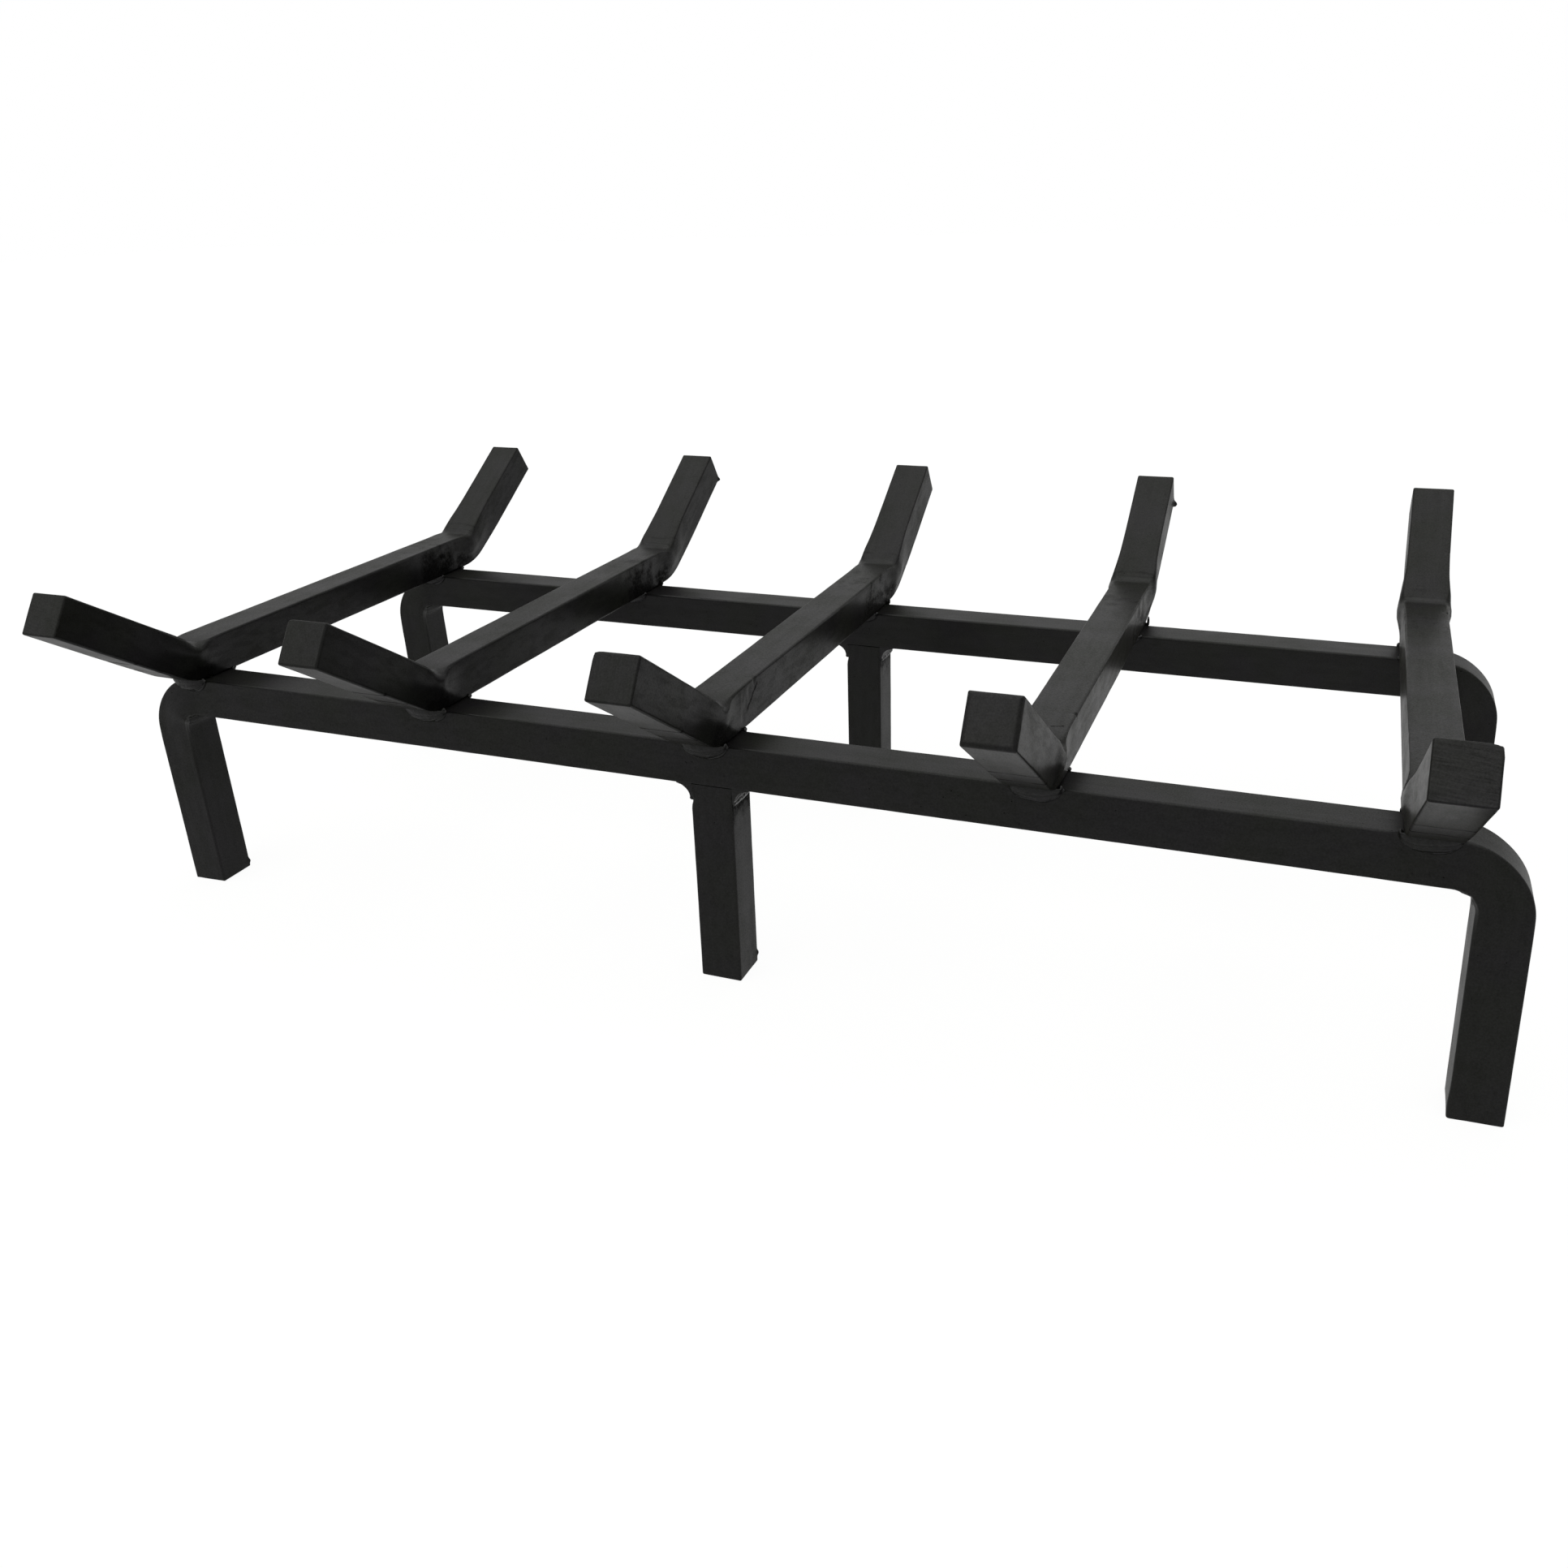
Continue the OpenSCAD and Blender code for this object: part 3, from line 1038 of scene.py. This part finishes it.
class GRATE_OT_make_rails(bpy.types.Operator):
    """Make the two rails with their corner legs, each bent from one bar"""

    bl_idname = "grate.make_rails"
    bl_label = "Rails"

    def execute(self, context):
        steel = context.scene.grate_steel
        centre_radius = steel.leg_bend_radius + HALF_BAR
        outer_radius = steel.leg_bend_radius + BAR_SIZE
        bend_height = RAIL_BOTTOM - steel.leg_bend_radius
        lean, left_lean = steel.right_leg_lean, steel.left_leg_lean
        right_turn, left_turn = math.pi / 2 - lean, math.pi / 2 + left_lean
        top_of_leg = bend_height + centre_radius * math.sin(lean)
        left_top = bend_height - centre_radius * math.sin(left_lean)
        for number, node in enumerate(RAIL_NAMES):
            low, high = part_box(node)
            right_bend = high.x - outer_radius / math.cos(lean) - bend_height * math.tan(lean)
            left_bend = low.x + outer_radius
            foot_x = right_bend + centre_radius * math.cos(lean) + top_of_leg * math.tan(lean)
            stretches = [
                (top_of_leg / math.cos(lean), 0),
                (centre_radius * right_turn, right_turn),
                (right_bend - left_bend, 0),
                (centre_radius * left_turn, left_turn),
                (left_top / math.cos(left_lean), 0),
            ]
            path, length = lay_path((foot_x, 0), math.pi / 2 + lean, stretches)
            middle = Vector((0, (low.y + high.y) / 2))
            flaws = [
                (1.0, 1.0, length - 3 * MM, 1.2 * MM, 0.8 * MM),
                (-1.0, 1.0, 5 * MM, 6 * MM, 0.5 * MM),
            ]
            rounds = (0.6 * MM, 0.6 * MM)
            make_bar(node, middle, path, length, rounds, flaws, 11 + number, (0.3, 0.5), "rail")
        return {"FINISHED"}


class GRATE_OT_make_centre_legs(bpy.types.Operator):
    """Make the two straight centre legs"""

    bl_idname = "grate.make_centre_legs"
    bl_label = "Centre Legs"

    def execute(self, context):
        bite = 0.15 * MM
        for number, node in enumerate(("front_centre_leg", "rear_centre_leg")):
            low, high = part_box(node)
            path, length = lay_path((0, 0), math.pi / 2, [(high.z + bite, 0)])
            flaws = [
                (1.0, -1.0, 4.4 * MM, 1.2 * MM, 0.9 * MM),
                (-1.0, 1.0, high.z - 7.6 * MM, 1.6 * MM, -0.9 * MM),
                (-0.3, 1.0, high.z - 7.8 * MM, 2.0 * MM, -0.6 * MM),
            ]
            rounds = (0.7 * MM, 0.2 * MM)
            make_bar(node, (low + high) / 2, path, length, rounds, flaws, 21 + number, (0.0, 0.5))
        return {"FINISHED"}


# ---------------------------------------------------------------- log bars

# How each log bar's ends were cut: rounding of the edges at the front and at the rear, the
# angle of the saw's lines and their depth
BAR_ENDS = {
    1: (0.9 * MM, 0.8 * MM, 0.2, 0.4),
    2: (1.1 * MM, 0.8 * MM, 1.2, 0.4),
    3: (0.9 * MM, 0.8 * MM, 1.5, 0.4),
    4: (1.9 * MM, 0.9 * MM, 0.8, 0.2),
    5: (0.7 * MM, 0.7 * MM, 0.10, 1.0),
}

# Drips and notches on the log bars, as (across, up, along, size, height). A negative along is
# measured back from the rear tip.
BAR_FLAWS = {
    1: [(1.0, 1.0, 0.150, 0.9 * MM, -0.4 * MM)],
    2: [
        (1.0, -1.0, -0.0010, 1.3 * MM, 1.1 * MM),
        (1.0, 0.45, 0.214, 0.8 * MM, 0.3 * MM),
        (-1.0, 1.0, 0.0, 1.5 * MM, -0.7 * MM),
    ],
    3: [
        (1.0, 0.9, 0.114, 1.5 * MM, -0.45 * MM),
        (1.0, 0.5, 0.108, 1.8 * MM, -0.4 * MM),
        (1.0, 0.1, 0.104, 1.5 * MM, -0.4 * MM),
        (1.0, -0.4, 0.101, 1.8 * MM, -0.4 * MM),
        (1.0, 0.6, 0.099, 1.4 * MM, 0.3 * MM),
        (-1.0, 1.0, 0.0, 1.6 * MM, -0.9 * MM),
    ],
    4: [
        (1.0, 1.0, 0.1118, 0.9 * MM, -1.1 * MM),
        (1.0, -1.0, -0.0020, 1.5 * MM, 2.3 * MM),
        (1.0, -0.2, 0.095, 1.6 * MM, -0.3 * MM),
    ],
    5: [
        (1.0, 1.0, -0.0977, 1.1 * MM, -0.8 * MM),
        (0.95, 1.0, -0.0435, 0.8 * MM, -0.35 * MM),
        (1.0, 1.0, 0.0, 1.8 * MM, -1.1 * MM),
        (-1.0, 0.9, 0.128, 0.9 * MM, -0.5 * MM),
    ],
}


def log_bar_plan(steel, low, high):
    """How far a log bar's bend starts before its corner, how long its end is from the corner, and
    the rear corner's place, from the bar's box."""
    setback = steel.end_bend_radius * math.tan(steel.end_angle / 2)
    end_length = (high.z - low.z - BAR_SIZE) / math.sin(steel.end_angle)
    end_depth = end_length * math.cos(steel.end_angle) + BAR_SIZE * math.sin(steel.end_angle)
    return setback, end_length, high.y - end_depth


class GRATE_OT_make_log_bars(bpy.types.Operator):
    """Make the log bars, with both ends bent up"""

    bl_idname = "grate.make_log_bars"
    bl_label = "Log Bars"

    def execute(self, context):
        steel = context.scene.grate_steel
        angle = steel.end_angle
        bend = ((steel.end_bend_radius + HALF_BAR) * angle, angle)
        middle_up = Vector((math.sin(angle), math.cos(angle))) * HALF_BAR
        for number in range(1, BAR_COUNT + 1):
            node = f"log_bar_{number}"
            low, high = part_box(node)
            setback, end_length, corner_y = log_bar_plan(steel, low, high)
            tip, flat = (end_length - setback, 0), (2 * (corner_y - setback), 0)
            start = (low.y + middle_up.x, high.z - middle_up.y)
            path, length = lay_path(start, -angle, [tip, bend, flat, bend, tip])
            flaws = [
                (across, up, along if along >= 0 else length + along, size, height)
                for across, up, along, size, height in BAR_FLAWS[number]
            ]
            *rounds, saw_angle, saw_depth = BAR_ENDS[number]
            saw, seed = (saw_angle, saw_depth), 30 + number
            make_bar(node, (low + high) / 2, path, length, rounds, flaws, seed, saw, "log_bar")
        return {"FINISHED"}


# ---------------------------------------------------------------- welds


def slab(slices):
    """Closes a row of equal outlines, given as arrays of points, into a mesh's points and faces."""
    count = len(slices[0])
    points = [tuple(point) for outline in slices for point in outline]
    faces = tube_faces(len(slices), count)
    faces.append(tuple(range(count)))
    faces.append(tuple(range(len(points) - 1, len(points) - 1 - count, -1)))
    return points, faces


def blob(centre, radii, turns=10, levels=6):
    """An egg of weld metal, as a mesh's points and faces."""
    points = []
    for level in range(1, levels):
        height = math.pi * level / levels
        for turn in range(turns):
            angle = 2 * math.pi * turn / turns
            side = (math.sin(height) * math.cos(angle), math.sin(height) * math.sin(angle))
            unit = (*side, math.cos(height))
            points.append(tuple(at + radius * share for at, radius, share in zip(centre, radii, unit)))
    faces = tube_faces(levels - 1, turns)
    top, bottom = len(points), len(points) + 1
    points.append((centre[0], centre[1], centre[2] + radii[2]))
    points.append((centre[0], centre[1], centre[2] - radii[2]))
    last = (levels - 2) * turns
    for turn in range(turns):
        after = (turn + 1) % turns
        faces.append((top, after, turn))
        faces.append((bottom, last + turn, last + after))
    return points, faces


def fuse(parts, cell, smoothing):
    """Melts overlapping closed parts into one skin of small cells, smoothed a number of times.

    Returns its points, their outward directions and its faces."""
    points, faces = [], []
    for part_points, part_faces in parts:
        start = len(points)
        points += part_points
        faces += [tuple(start + index for index in face) for face in part_faces]
    source = show("molten", mesh_of("molten", points, faces))
    melt = source.modifiers.new("Melt", "REMESH")
    melt.mode = "VOXEL"
    melt.voxel_size = cell
    settle = source.modifiers.new("Settle", "SMOOTH")
    settle.factor = 0.5
    settle.iterations = smoothing
    shown = source.evaluated_get(bpy.context.evaluated_depsgraph_get())
    skin = bpy.data.meshes.new_from_object(shown)
    places, facing = np.zeros((2, len(skin.vertices) * 3))
    skin.vertices.foreach_get("co", places)
    skin.vertices.foreach_get("normal", facing)
    skin_faces = [tuple(polygon.vertices) for polygon in skin.polygons]
    molten = source.data
    bpy.data.objects.remove(source)
    bpy.data.meshes.remove(molten)
    bpy.data.meshes.remove(skin)
    return places.reshape(-1, 3), facing.reshape(-1, 3), skin_faces


def roughen(points, fine, wide, seed):
    """How far uneven weld metal stands out at each point, from the (size, height) of its fine and
    of its wide lumps."""
    height = fine[1] * lumps(points, fine[0], seed)
    return height + wide[1] * lumps(points, wide[0], seed + 1)


def moon_share(across):
    """How deep a half moon is at a share of its half width, as a share of its full depth."""
    return np.clip(1 - np.abs(across) ** 2.2, 0, 1) ** 0.5


def crescent(half_width, depth, reach, lip, bar_rise):
    """A half moon of weld in the corner below a bar: x along the rail, y out from its face, z up.

    bar_rise gives the height of the bar's underside at a distance out from the rail.
    """
    steps, profile_steps = 22, 9
    slices = []
    for step in range(steps + 1):
        across = -math.cos(math.pi * step / steps)
        full = float(moon_share(across))
        low = max(depth * full, 0.9 * MM)
        out = max(reach * full**0.8, 1.1 * MM)
        toe = Vector((0, lip, -low + 0.25 * lip))
        top = Vector((0, out, bar_rise(out) - 0.3 * lip))
        outline = [(0, -SUNK, -low), (0, 0.5 * lip, -low)]
        chord = top - toe
        normal = Vector((0, -chord.z, chord.y)).normalized()
        normal = normal if normal.z < 0 else -normal
        for number in range(profile_steps):
            share = number / (profile_steps - 1)
            bulge = 0.13 * chord.length * 4 * share * (1 - share)
            outline.append(tuple(toe + share * chord + bulge * normal))
        outline.append((0, out, bar_rise(out) + SUNK))
        outline.append((0, -SUNK, SUNK))
        slices.append(np.array(outline) + np.array((half_width * across, 0, 0)))
    return slab(slices)


def spatter(rng, depth):
    """Small beads of weld metal thrown on to the rail's face below a weld of that depth."""
    parts, spread, radius, gap = [], 8 * MM, 0.45 * MM, 1.5 * MM
    for _ in range(rng.randint(2, 5)):
        size = radius * rng.uniform(0.5, 1.0)
        along = rng.gauss(0, spread)
        down = -depth - abs(rng.gauss(0, 0.35 * spread)) - gap
        parts.append(blob((along, 0.0, down), (size, size, size), turns=8, levels=5))
    return parts


# What is particular to the welds at the front of the front rail: the shift of the weld along
# the rail, its depth, the size of the lumps at its left and right ends, and half its width
# where it is less than full
WELD_LOOKS = {
    1: {"shift": 0.9 * MM, "depth": 6.6 * MM, "left": 0.4, "right": 0.7, "half": 9.2 * MM},
    2: {"shift": 0.2 * MM, "depth": 6.3 * MM, "left": 0.6, "right": 0.9},
    3: {"shift": 0.3 * MM, "depth": 6.6 * MM, "left": 0.6, "right": 0.85},
    4: {"shift": 0.5 * MM, "depth": 6.4 * MM, "left": 0.5, "right": 0.85},
    5: {"shift": -0.6 * MM, "depth": 6.6 * MM, "left": 0.8, "right": 0.6},
}
# Height of the flake that stands at the right end of a weld on the back of the rear rail
WELD_FLAKES = {2: 1.6 * MM, 3: 2.0 * MM, 4: 3.3 * MM}
# How far a bar weld reaches out from the rail, the radii of the lump at each of its ends at full
# size, and where its ripples lie, as shares of its depth
WELD_REACH = 5.2 * MM
EAR_RADII = (1.2 * MM, 1.6 * MM, 1.7 * MM)
RIPPLES = (0.32, 0.54, 0.74, 0.92)
# Where teeth hang from the lower toe of a leg weld, as shares of half its length
TEETH = (-0.55, -0.2, -0.05, 0.4)


class GRATE_OT_make_bar_welds(bpy.types.Operator):
    """Make the welds between the log bars and the rails"""

    bl_idname = "grate.make_bar_welds"
    bl_label = "Bar Welds"

    def execute(self, context):
        steel = context.scene.grate_steel
        welds = context.scene.grate_welds
        outer_radius = steel.end_bend_radius + BAR_SIZE
        setback, _, corner_y = log_bar_plan(steel, *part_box("log_bar_1"))
        seed = 100
        for number in range(1, BAR_COUNT + 1):
            bar_low, bar_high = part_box(f"log_bar_{number}")
            for rail in RAIL_NAMES:
                rail_low, rail_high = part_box(rail)
                for side, face_y in (("front", rail_low.y), ("back", rail_high.y)):
                    seed += 1
                    facing = SIDES[side]

                    def bar_rise(out, face_y=face_y, facing=facing):
                        past = abs(face_y + facing * out) - corner_y + setback
                        if past <= 0:
                            return 0.0
                        return outer_radius - math.sqrt(max(outer_radius**2 - past**2, 0))

                    rng = random.Random(seed)
                    look = {
                        "shift": rng.uniform(-0.4, 0.4) * MM,
                        "depth": rng.uniform(5.6, 6.6) * MM,
                        "left": rng.uniform(0.35, 0.6),
                        "right": rng.uniform(0.35, 0.6),
                    }
                    if rail == "front_rail" and side == "front":
                        look = {**WELD_LOOKS[number], "stop": True}
                    if rail == "rear_rail" and side == "back":
                        look["flake"] = WELD_FLAKES.get(number, 0)
                    corner = ((bar_low.x + bar_high.x) / 2, face_y)
                    node = f"bar_{number}_{rail}_{side}_weld"
                    self.weld(node, corner, facing, look, bar_rise, rng, seed, welds)
        return {"FINISHED"}

    def weld(self, node, corner, facing, look, bar_rise, rng, seed, welds):
        """One crescent with a lump at each end, where the weld climbs the bar's lower edge."""
        half_width = look.get("half", HALF_BAR + welds.overrun - 0.2 * MM)
        depth = look["depth"]
        parts = [crescent(half_width, depth, WELD_REACH, welds.lip, bar_rise)]
        for side in ("left", "right"):
            centre = (SIDES[side] * (half_width - 0.9 * MM), 0.6 * MM, 0.4 * MM)
            parts.append(blob(centre, [radius * look[side] for radius in EAR_RADII]))
        if "stop" in look:
            parts.append(blob((half_width + 0.3 * MM, 0.5 * MM, -0.2 * MM), (0.65 * MM,) * 3))
        if look.get("flake"):
            parts.append(blob((half_width, 0.3 * MM, 1.4 * MM), (0.7 * MM, 1.1 * MM, look["flake"])))
        parts += spatter(rng, depth)
        points, outward, faces = fuse(parts, welds.grain, 2)
        full = np.maximum(moon_share(points[:, 0] / half_width), 0.15)
        down = np.clip(-points[:, 2] / (depth * full) + 0.12 * points[:, 0] / half_width, 0, 1.1)
        wobble = 0.10 * lumps(points, 5 * MM, seed + 3)
        height = roughen(points, (1.5 * MM, 0.09 * MM), (4 * MM, 0.1 * MM), seed)
        for place in RIPPLES:
            height -= welds.ripple * ridge(down + wobble - place + rng.uniform(-0.04, 0.04), 0.075)
        points = points + outward * height[:, None]
        world = points * (1, facing, 1) + (corner[0] + look["shift"], corner[1], RAIL_TOP)
        hand_over(node, world, faces, weld_paint(), {})


class GRATE_OT_make_leg_welds(bpy.types.Operator):
    """Make the hollow fillet welds at the top of the centre legs"""

    bl_idname = "grate.make_leg_welds"
    bl_label = "Leg Welds"

    def execute(self, context):
        seed = 300
        for leg in ("front_centre_leg", "rear_centre_leg"):
            low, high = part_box(leg)
            for side, face_x in (("left", low.x), ("right", high.x)):
                seed += 1
                corner = (face_x, (low.y + high.y) / 2)
                self.weld(f"{leg}_{side}_weld", corner, SIDES[side], seed, context.scene.grate_welds)
        return {"FINISHED"}

    def weld(self, node, corner, facing, seed, welds):
        """A hollow fillet: x out from the leg's side, y across the bar, z down from the rail."""
        size, toe = welds.leg_weld_size, 0.55 * MM
        rng = random.Random(seed)
        slices, steps, arc_steps = [], 16, 10
        half_length = HALF_BAR - 0.5 * MM
        rim = facing == SIDES["right"]
        for step in range(steps + 1):
            across = -math.cos(math.pi * step / steps)
            full = 0.80 + 0.20 * max(1 - abs(across) ** 6, 0) ** 0.5
            full *= 1 + 0.04 * math.sin(5.1 * across + seed)
            leg = size * full
            outline = [(-SUNK, 0, SUNK), (leg, 0, SUNK), (leg, 0, -toe)]
            for number in range(1, arc_steps):
                angle = math.pi / 2 * number / arc_steps
                hollow = leg - toe
                outline.append((leg - hollow * math.sin(angle), 0, -leg + hollow * math.cos(angle)))
            outline += [(toe * 1.6, 0, -leg), (0.4 * toe, 0, -leg - 0.8 * toe), (-SUNK, 0, -leg - 0.5 * toe)]
            slices.append(np.array(outline) + np.array((0, half_length * across, 0)))
        parts = [slab(slices)]
        if rim:
            parts.append(self.toe_bead(rng, half_length, size))
            for share in TEETH:
                tooth = (rng.uniform(0.35, 0.5) * MM, 0.5 * MM, rng.uniform(0.6, 1.1) * MM)
                centre = (0.1 * MM, share * half_length, -size - 0.6 * MM)
                parts.append(blob(centre, tooth, turns=8, levels=5))
        points, outward, faces = fuse(parts, welds.grain, 1)
        height = roughen(points, (1.3 * MM, 0.08 * MM), (4 * MM, 0.12 * MM), seed)
        points = points + outward * height[:, None]
        world = points * (facing, 1, 1) + (*corner, RAIL_BOTTOM)
        # A highlight painted along the lower rim of the right-hand welds, as more satin skin, stronger on
        # the front leg than on the rear one
        on_rim = (points[:, 2] < -0.72 * size) & (points[:, 0] > 0.5 * MM) & rim
        painted_highlight = on_rim * (1.0 if node.startswith("front") else 0.3)
        hand_over(node, world, faces, weld_paint(), {"painted_highlight": painted_highlight})

    def toe_bead(self, rng, half_length, size):
        """The raised, uneven rim along the lower toe."""
        slices, steps, turns = [], 18, 8
        for step in range(steps + 1):
            share = -1 + 2 * step / steps
            radius = rng.uniform(0.8, 1.0) * MM * (0.7 + 0.3 * (1 - share**4))
            middle = (0.5 * MM, half_length * share, 0.5 * MM - size * rng.uniform(0.98, 1.02))
            angles = np.arange(turns) * 2 * math.pi / turns
            ring = np.stack([np.cos(angles), 0 * angles, np.sin(angles)], 1)
            slices.append(np.array(middle) + radius * ring)
        return slab(slices)


# ---------------------------------------------------------------- stage


# The wide soft lamps: strength, height in degrees, bearing in degrees from the front round to the
# right, and width in degrees
LAMPS = {
    "lamp_overhead": (1.78, 90, 0, 80),
    "lamp_front": (0.46, 35, 0, 50),
    "lamp_front_left": (0.44, 35, -45, 50),
    "lamp_back": (0.15, 35, 180, 50),
    "lamp_back_left": (0.05, 35, 225, 50),
}
LAMP_COLOUR = (0.985, 1.0, 0.955)
WHITE, BLACK = (1, 1, 1, 1), (0, 0, 0, 1)


class GRATE_OT_make_stage(bpy.types.Operator):
    """Make the pale floor, the soft light and the camera"""

    bl_idname = "grate.make_stage"
    bl_label = "Stage"

    def execute(self, context):
        scene = context.scene
        stage = scene.grate_stage
        scene.view_settings.view_transform = "Standard"
        self.floor(stage)
        self.light(scene, stage)
        self.camera(scene, stage)
        return {"FINISHED"}

    def floor(self, stage):
        """A wide pale floor that shows white to the camera and keeps the grate's shadow."""
        half = stage.floor_size / 2
        under = -0.1 * MM
        corners = [(-half, -half, under), (half, -half, under), (half, half, under), (-half, half, under)]
        mesh = bpy.data.meshes.new("floor")
        mesh.from_pydata(corners, [], [(0, 1, 2, 3)])
        mesh.materials.append(self.floor_material(stage))
        show("floor", mesh)

    def white_rays(self, tree, camera_share=1.0):
        """1 for the rays that see a white studio: the camera's, and those off or through a gloss."""
        rays = put(tree, "ShaderNodeLightPath").outputs
        seen = sums(tree, "MULTIPLY", rays["Is Camera Ray"], camera_share)
        gloss = sums(tree, "MAXIMUM", rays["Is Glossy Ray"], rays["Is Transmission Ray"])
        return sums(tree, "MAXIMUM", seen, gloss)

    def floor_material(self, stage):
        """Plain matt floor, lifted to white where the camera sees it, with a faint shadow kept."""
        material = new_material("Pale Floor")
        tree = material.node_tree
        matt = put(tree, "ShaderNodeBsdfDiffuse", {"Color": colour_of(stage.floor_colour)})
        glow = put(tree, "ShaderNodeEmission", {"Color": WHITE, "Strength": stage.floor_lift})
        share = self.white_rays(tree, 1 - stage.floor_shade)
        mixed = put(tree, "ShaderNodeMixShader", {0: share, 1: matt.outputs[0], 2: glow.outputs[0]})
        put(tree, "ShaderNodeOutputMaterial", {"Surface": mixed.outputs[0]})
        return material

    def light(self, scene, stage):
        """A backdrop that is white and gives no light of its own, and the wide soft lamps."""
        world = bpy.data.worlds.new("Studio")
        scene.world = world
        world.use_nodes = True
        tree = world.node_tree
        tree.nodes.clear()
        dark, white = (
            put(tree, "ShaderNodeBackground", {"Color": colour, "Strength": 1.0}).outputs[0]
            for colour in (BLACK, WHITE)
        )
        mixed = put(tree, "ShaderNodeMixShader", {0: self.white_rays(tree), 1: dark, 2: white})
        put(tree, "ShaderNodeOutputWorld", {"Surface": mixed.outputs[0]})
        for name, (strength, elevation, bearing, width) in LAMPS.items():
            data = bpy.data.lights.new(name, "SUN")
            data.energy = strength * stage.lamp_strength
            data.angle = math.radians(width)
            data.color = LAMP_COLOUR
            across, rise = math.cos(math.radians(elevation)), math.sin(math.radians(elevation))
            turn = math.radians(bearing)
            towards = Vector((math.sin(turn) * across, -math.cos(turn) * across, rise))
            show(name, data).rotation_euler = towards.to_track_quat("Z", "Y").to_euler()

    def camera(self, scene, stage):
        """The camera, where the photograph was taken from."""
        data = bpy.data.cameras.new("camera")
        data.sensor_width = 36
        data.lens = stage.lens
        data.shift_x, data.shift_y = stage.shift
        data.clip_start, data.clip_end = 0.01, 100
        tilt, roll, turn = stage.camera_turn
        rotation = (
            Matrix.Rotation(turn, 4, "Z")
            @ Matrix.Rotation(math.pi / 2 + tilt, 4, "X")
            @ Matrix.Rotation(roll, 4, "Z")
        )
        camera = show("camera", data)
        camera.matrix_world = Matrix.Translation(stage.camera_place) @ rotation
        scene.camera = camera


# ---------------------------------------------------------------- sidebar and registration


class GRATE_PT_panel(bpy.types.Panel):
    """Lists the grate's sizes and the steps that make it"""

    bl_label = "Log Grate"
    bl_idname = "GRATE_PT_panel"
    bl_space_type = "VIEW_3D"
    bl_region_type = "UI"
    bl_category = "Log Grate"

    def draw(self, context):
        layout = self.layout
        for operator in OPERATORS:
            layout.operator(operator.bl_idname)
        for label in GROUPS:
            box = layout.box()
            group = getattr(context.scene, label)
            for name in group.__annotations__:
                box.prop(group, name)


GROUPS = {
    "grate_steel": GrateSteel,
    "grate_welds": GrateWelds,
    "grate_paint": GratePaint,
    "grate_stage": GrateStage,
}
OPERATORS = (
    GRATE_OT_make_stage,
    GRATE_OT_make_rails,
    GRATE_OT_make_centre_legs,
    GRATE_OT_make_log_bars,
    GRATE_OT_make_bar_welds,
    GRATE_OT_make_leg_welds,
)


def register():
    """Registers the classes and adds the sizes to the scene."""
    for group in (*GROUPS.values(), *OPERATORS, GRATE_PT_panel):
        bpy.utils.register_class(group)
    for label, group in GROUPS.items():
        setattr(bpy.types.Scene, label, bpy.props.PointerProperty(type=group))


def unregister():
    """Takes the sizes and the classes out again."""
    for label in GROUPS:
        delattr(bpy.types.Scene, label)
    for group in reversed((*GROUPS.values(), *OPERATORS, GRATE_PT_panel)):
        bpy.utils.unregister_class(group)


def main():
    """Makes the whole grate."""
    register()
    bpy.ops.grate.make_stage()
    bpy.ops.grate.make_rails()
    bpy.ops.grate.make_centre_legs()
    bpy.ops.grate.make_log_bars()
    bpy.ops.grate.make_bar_welds()
    bpy.ops.grate.make_leg_welds()


if __name__ == "__main__":
    main()
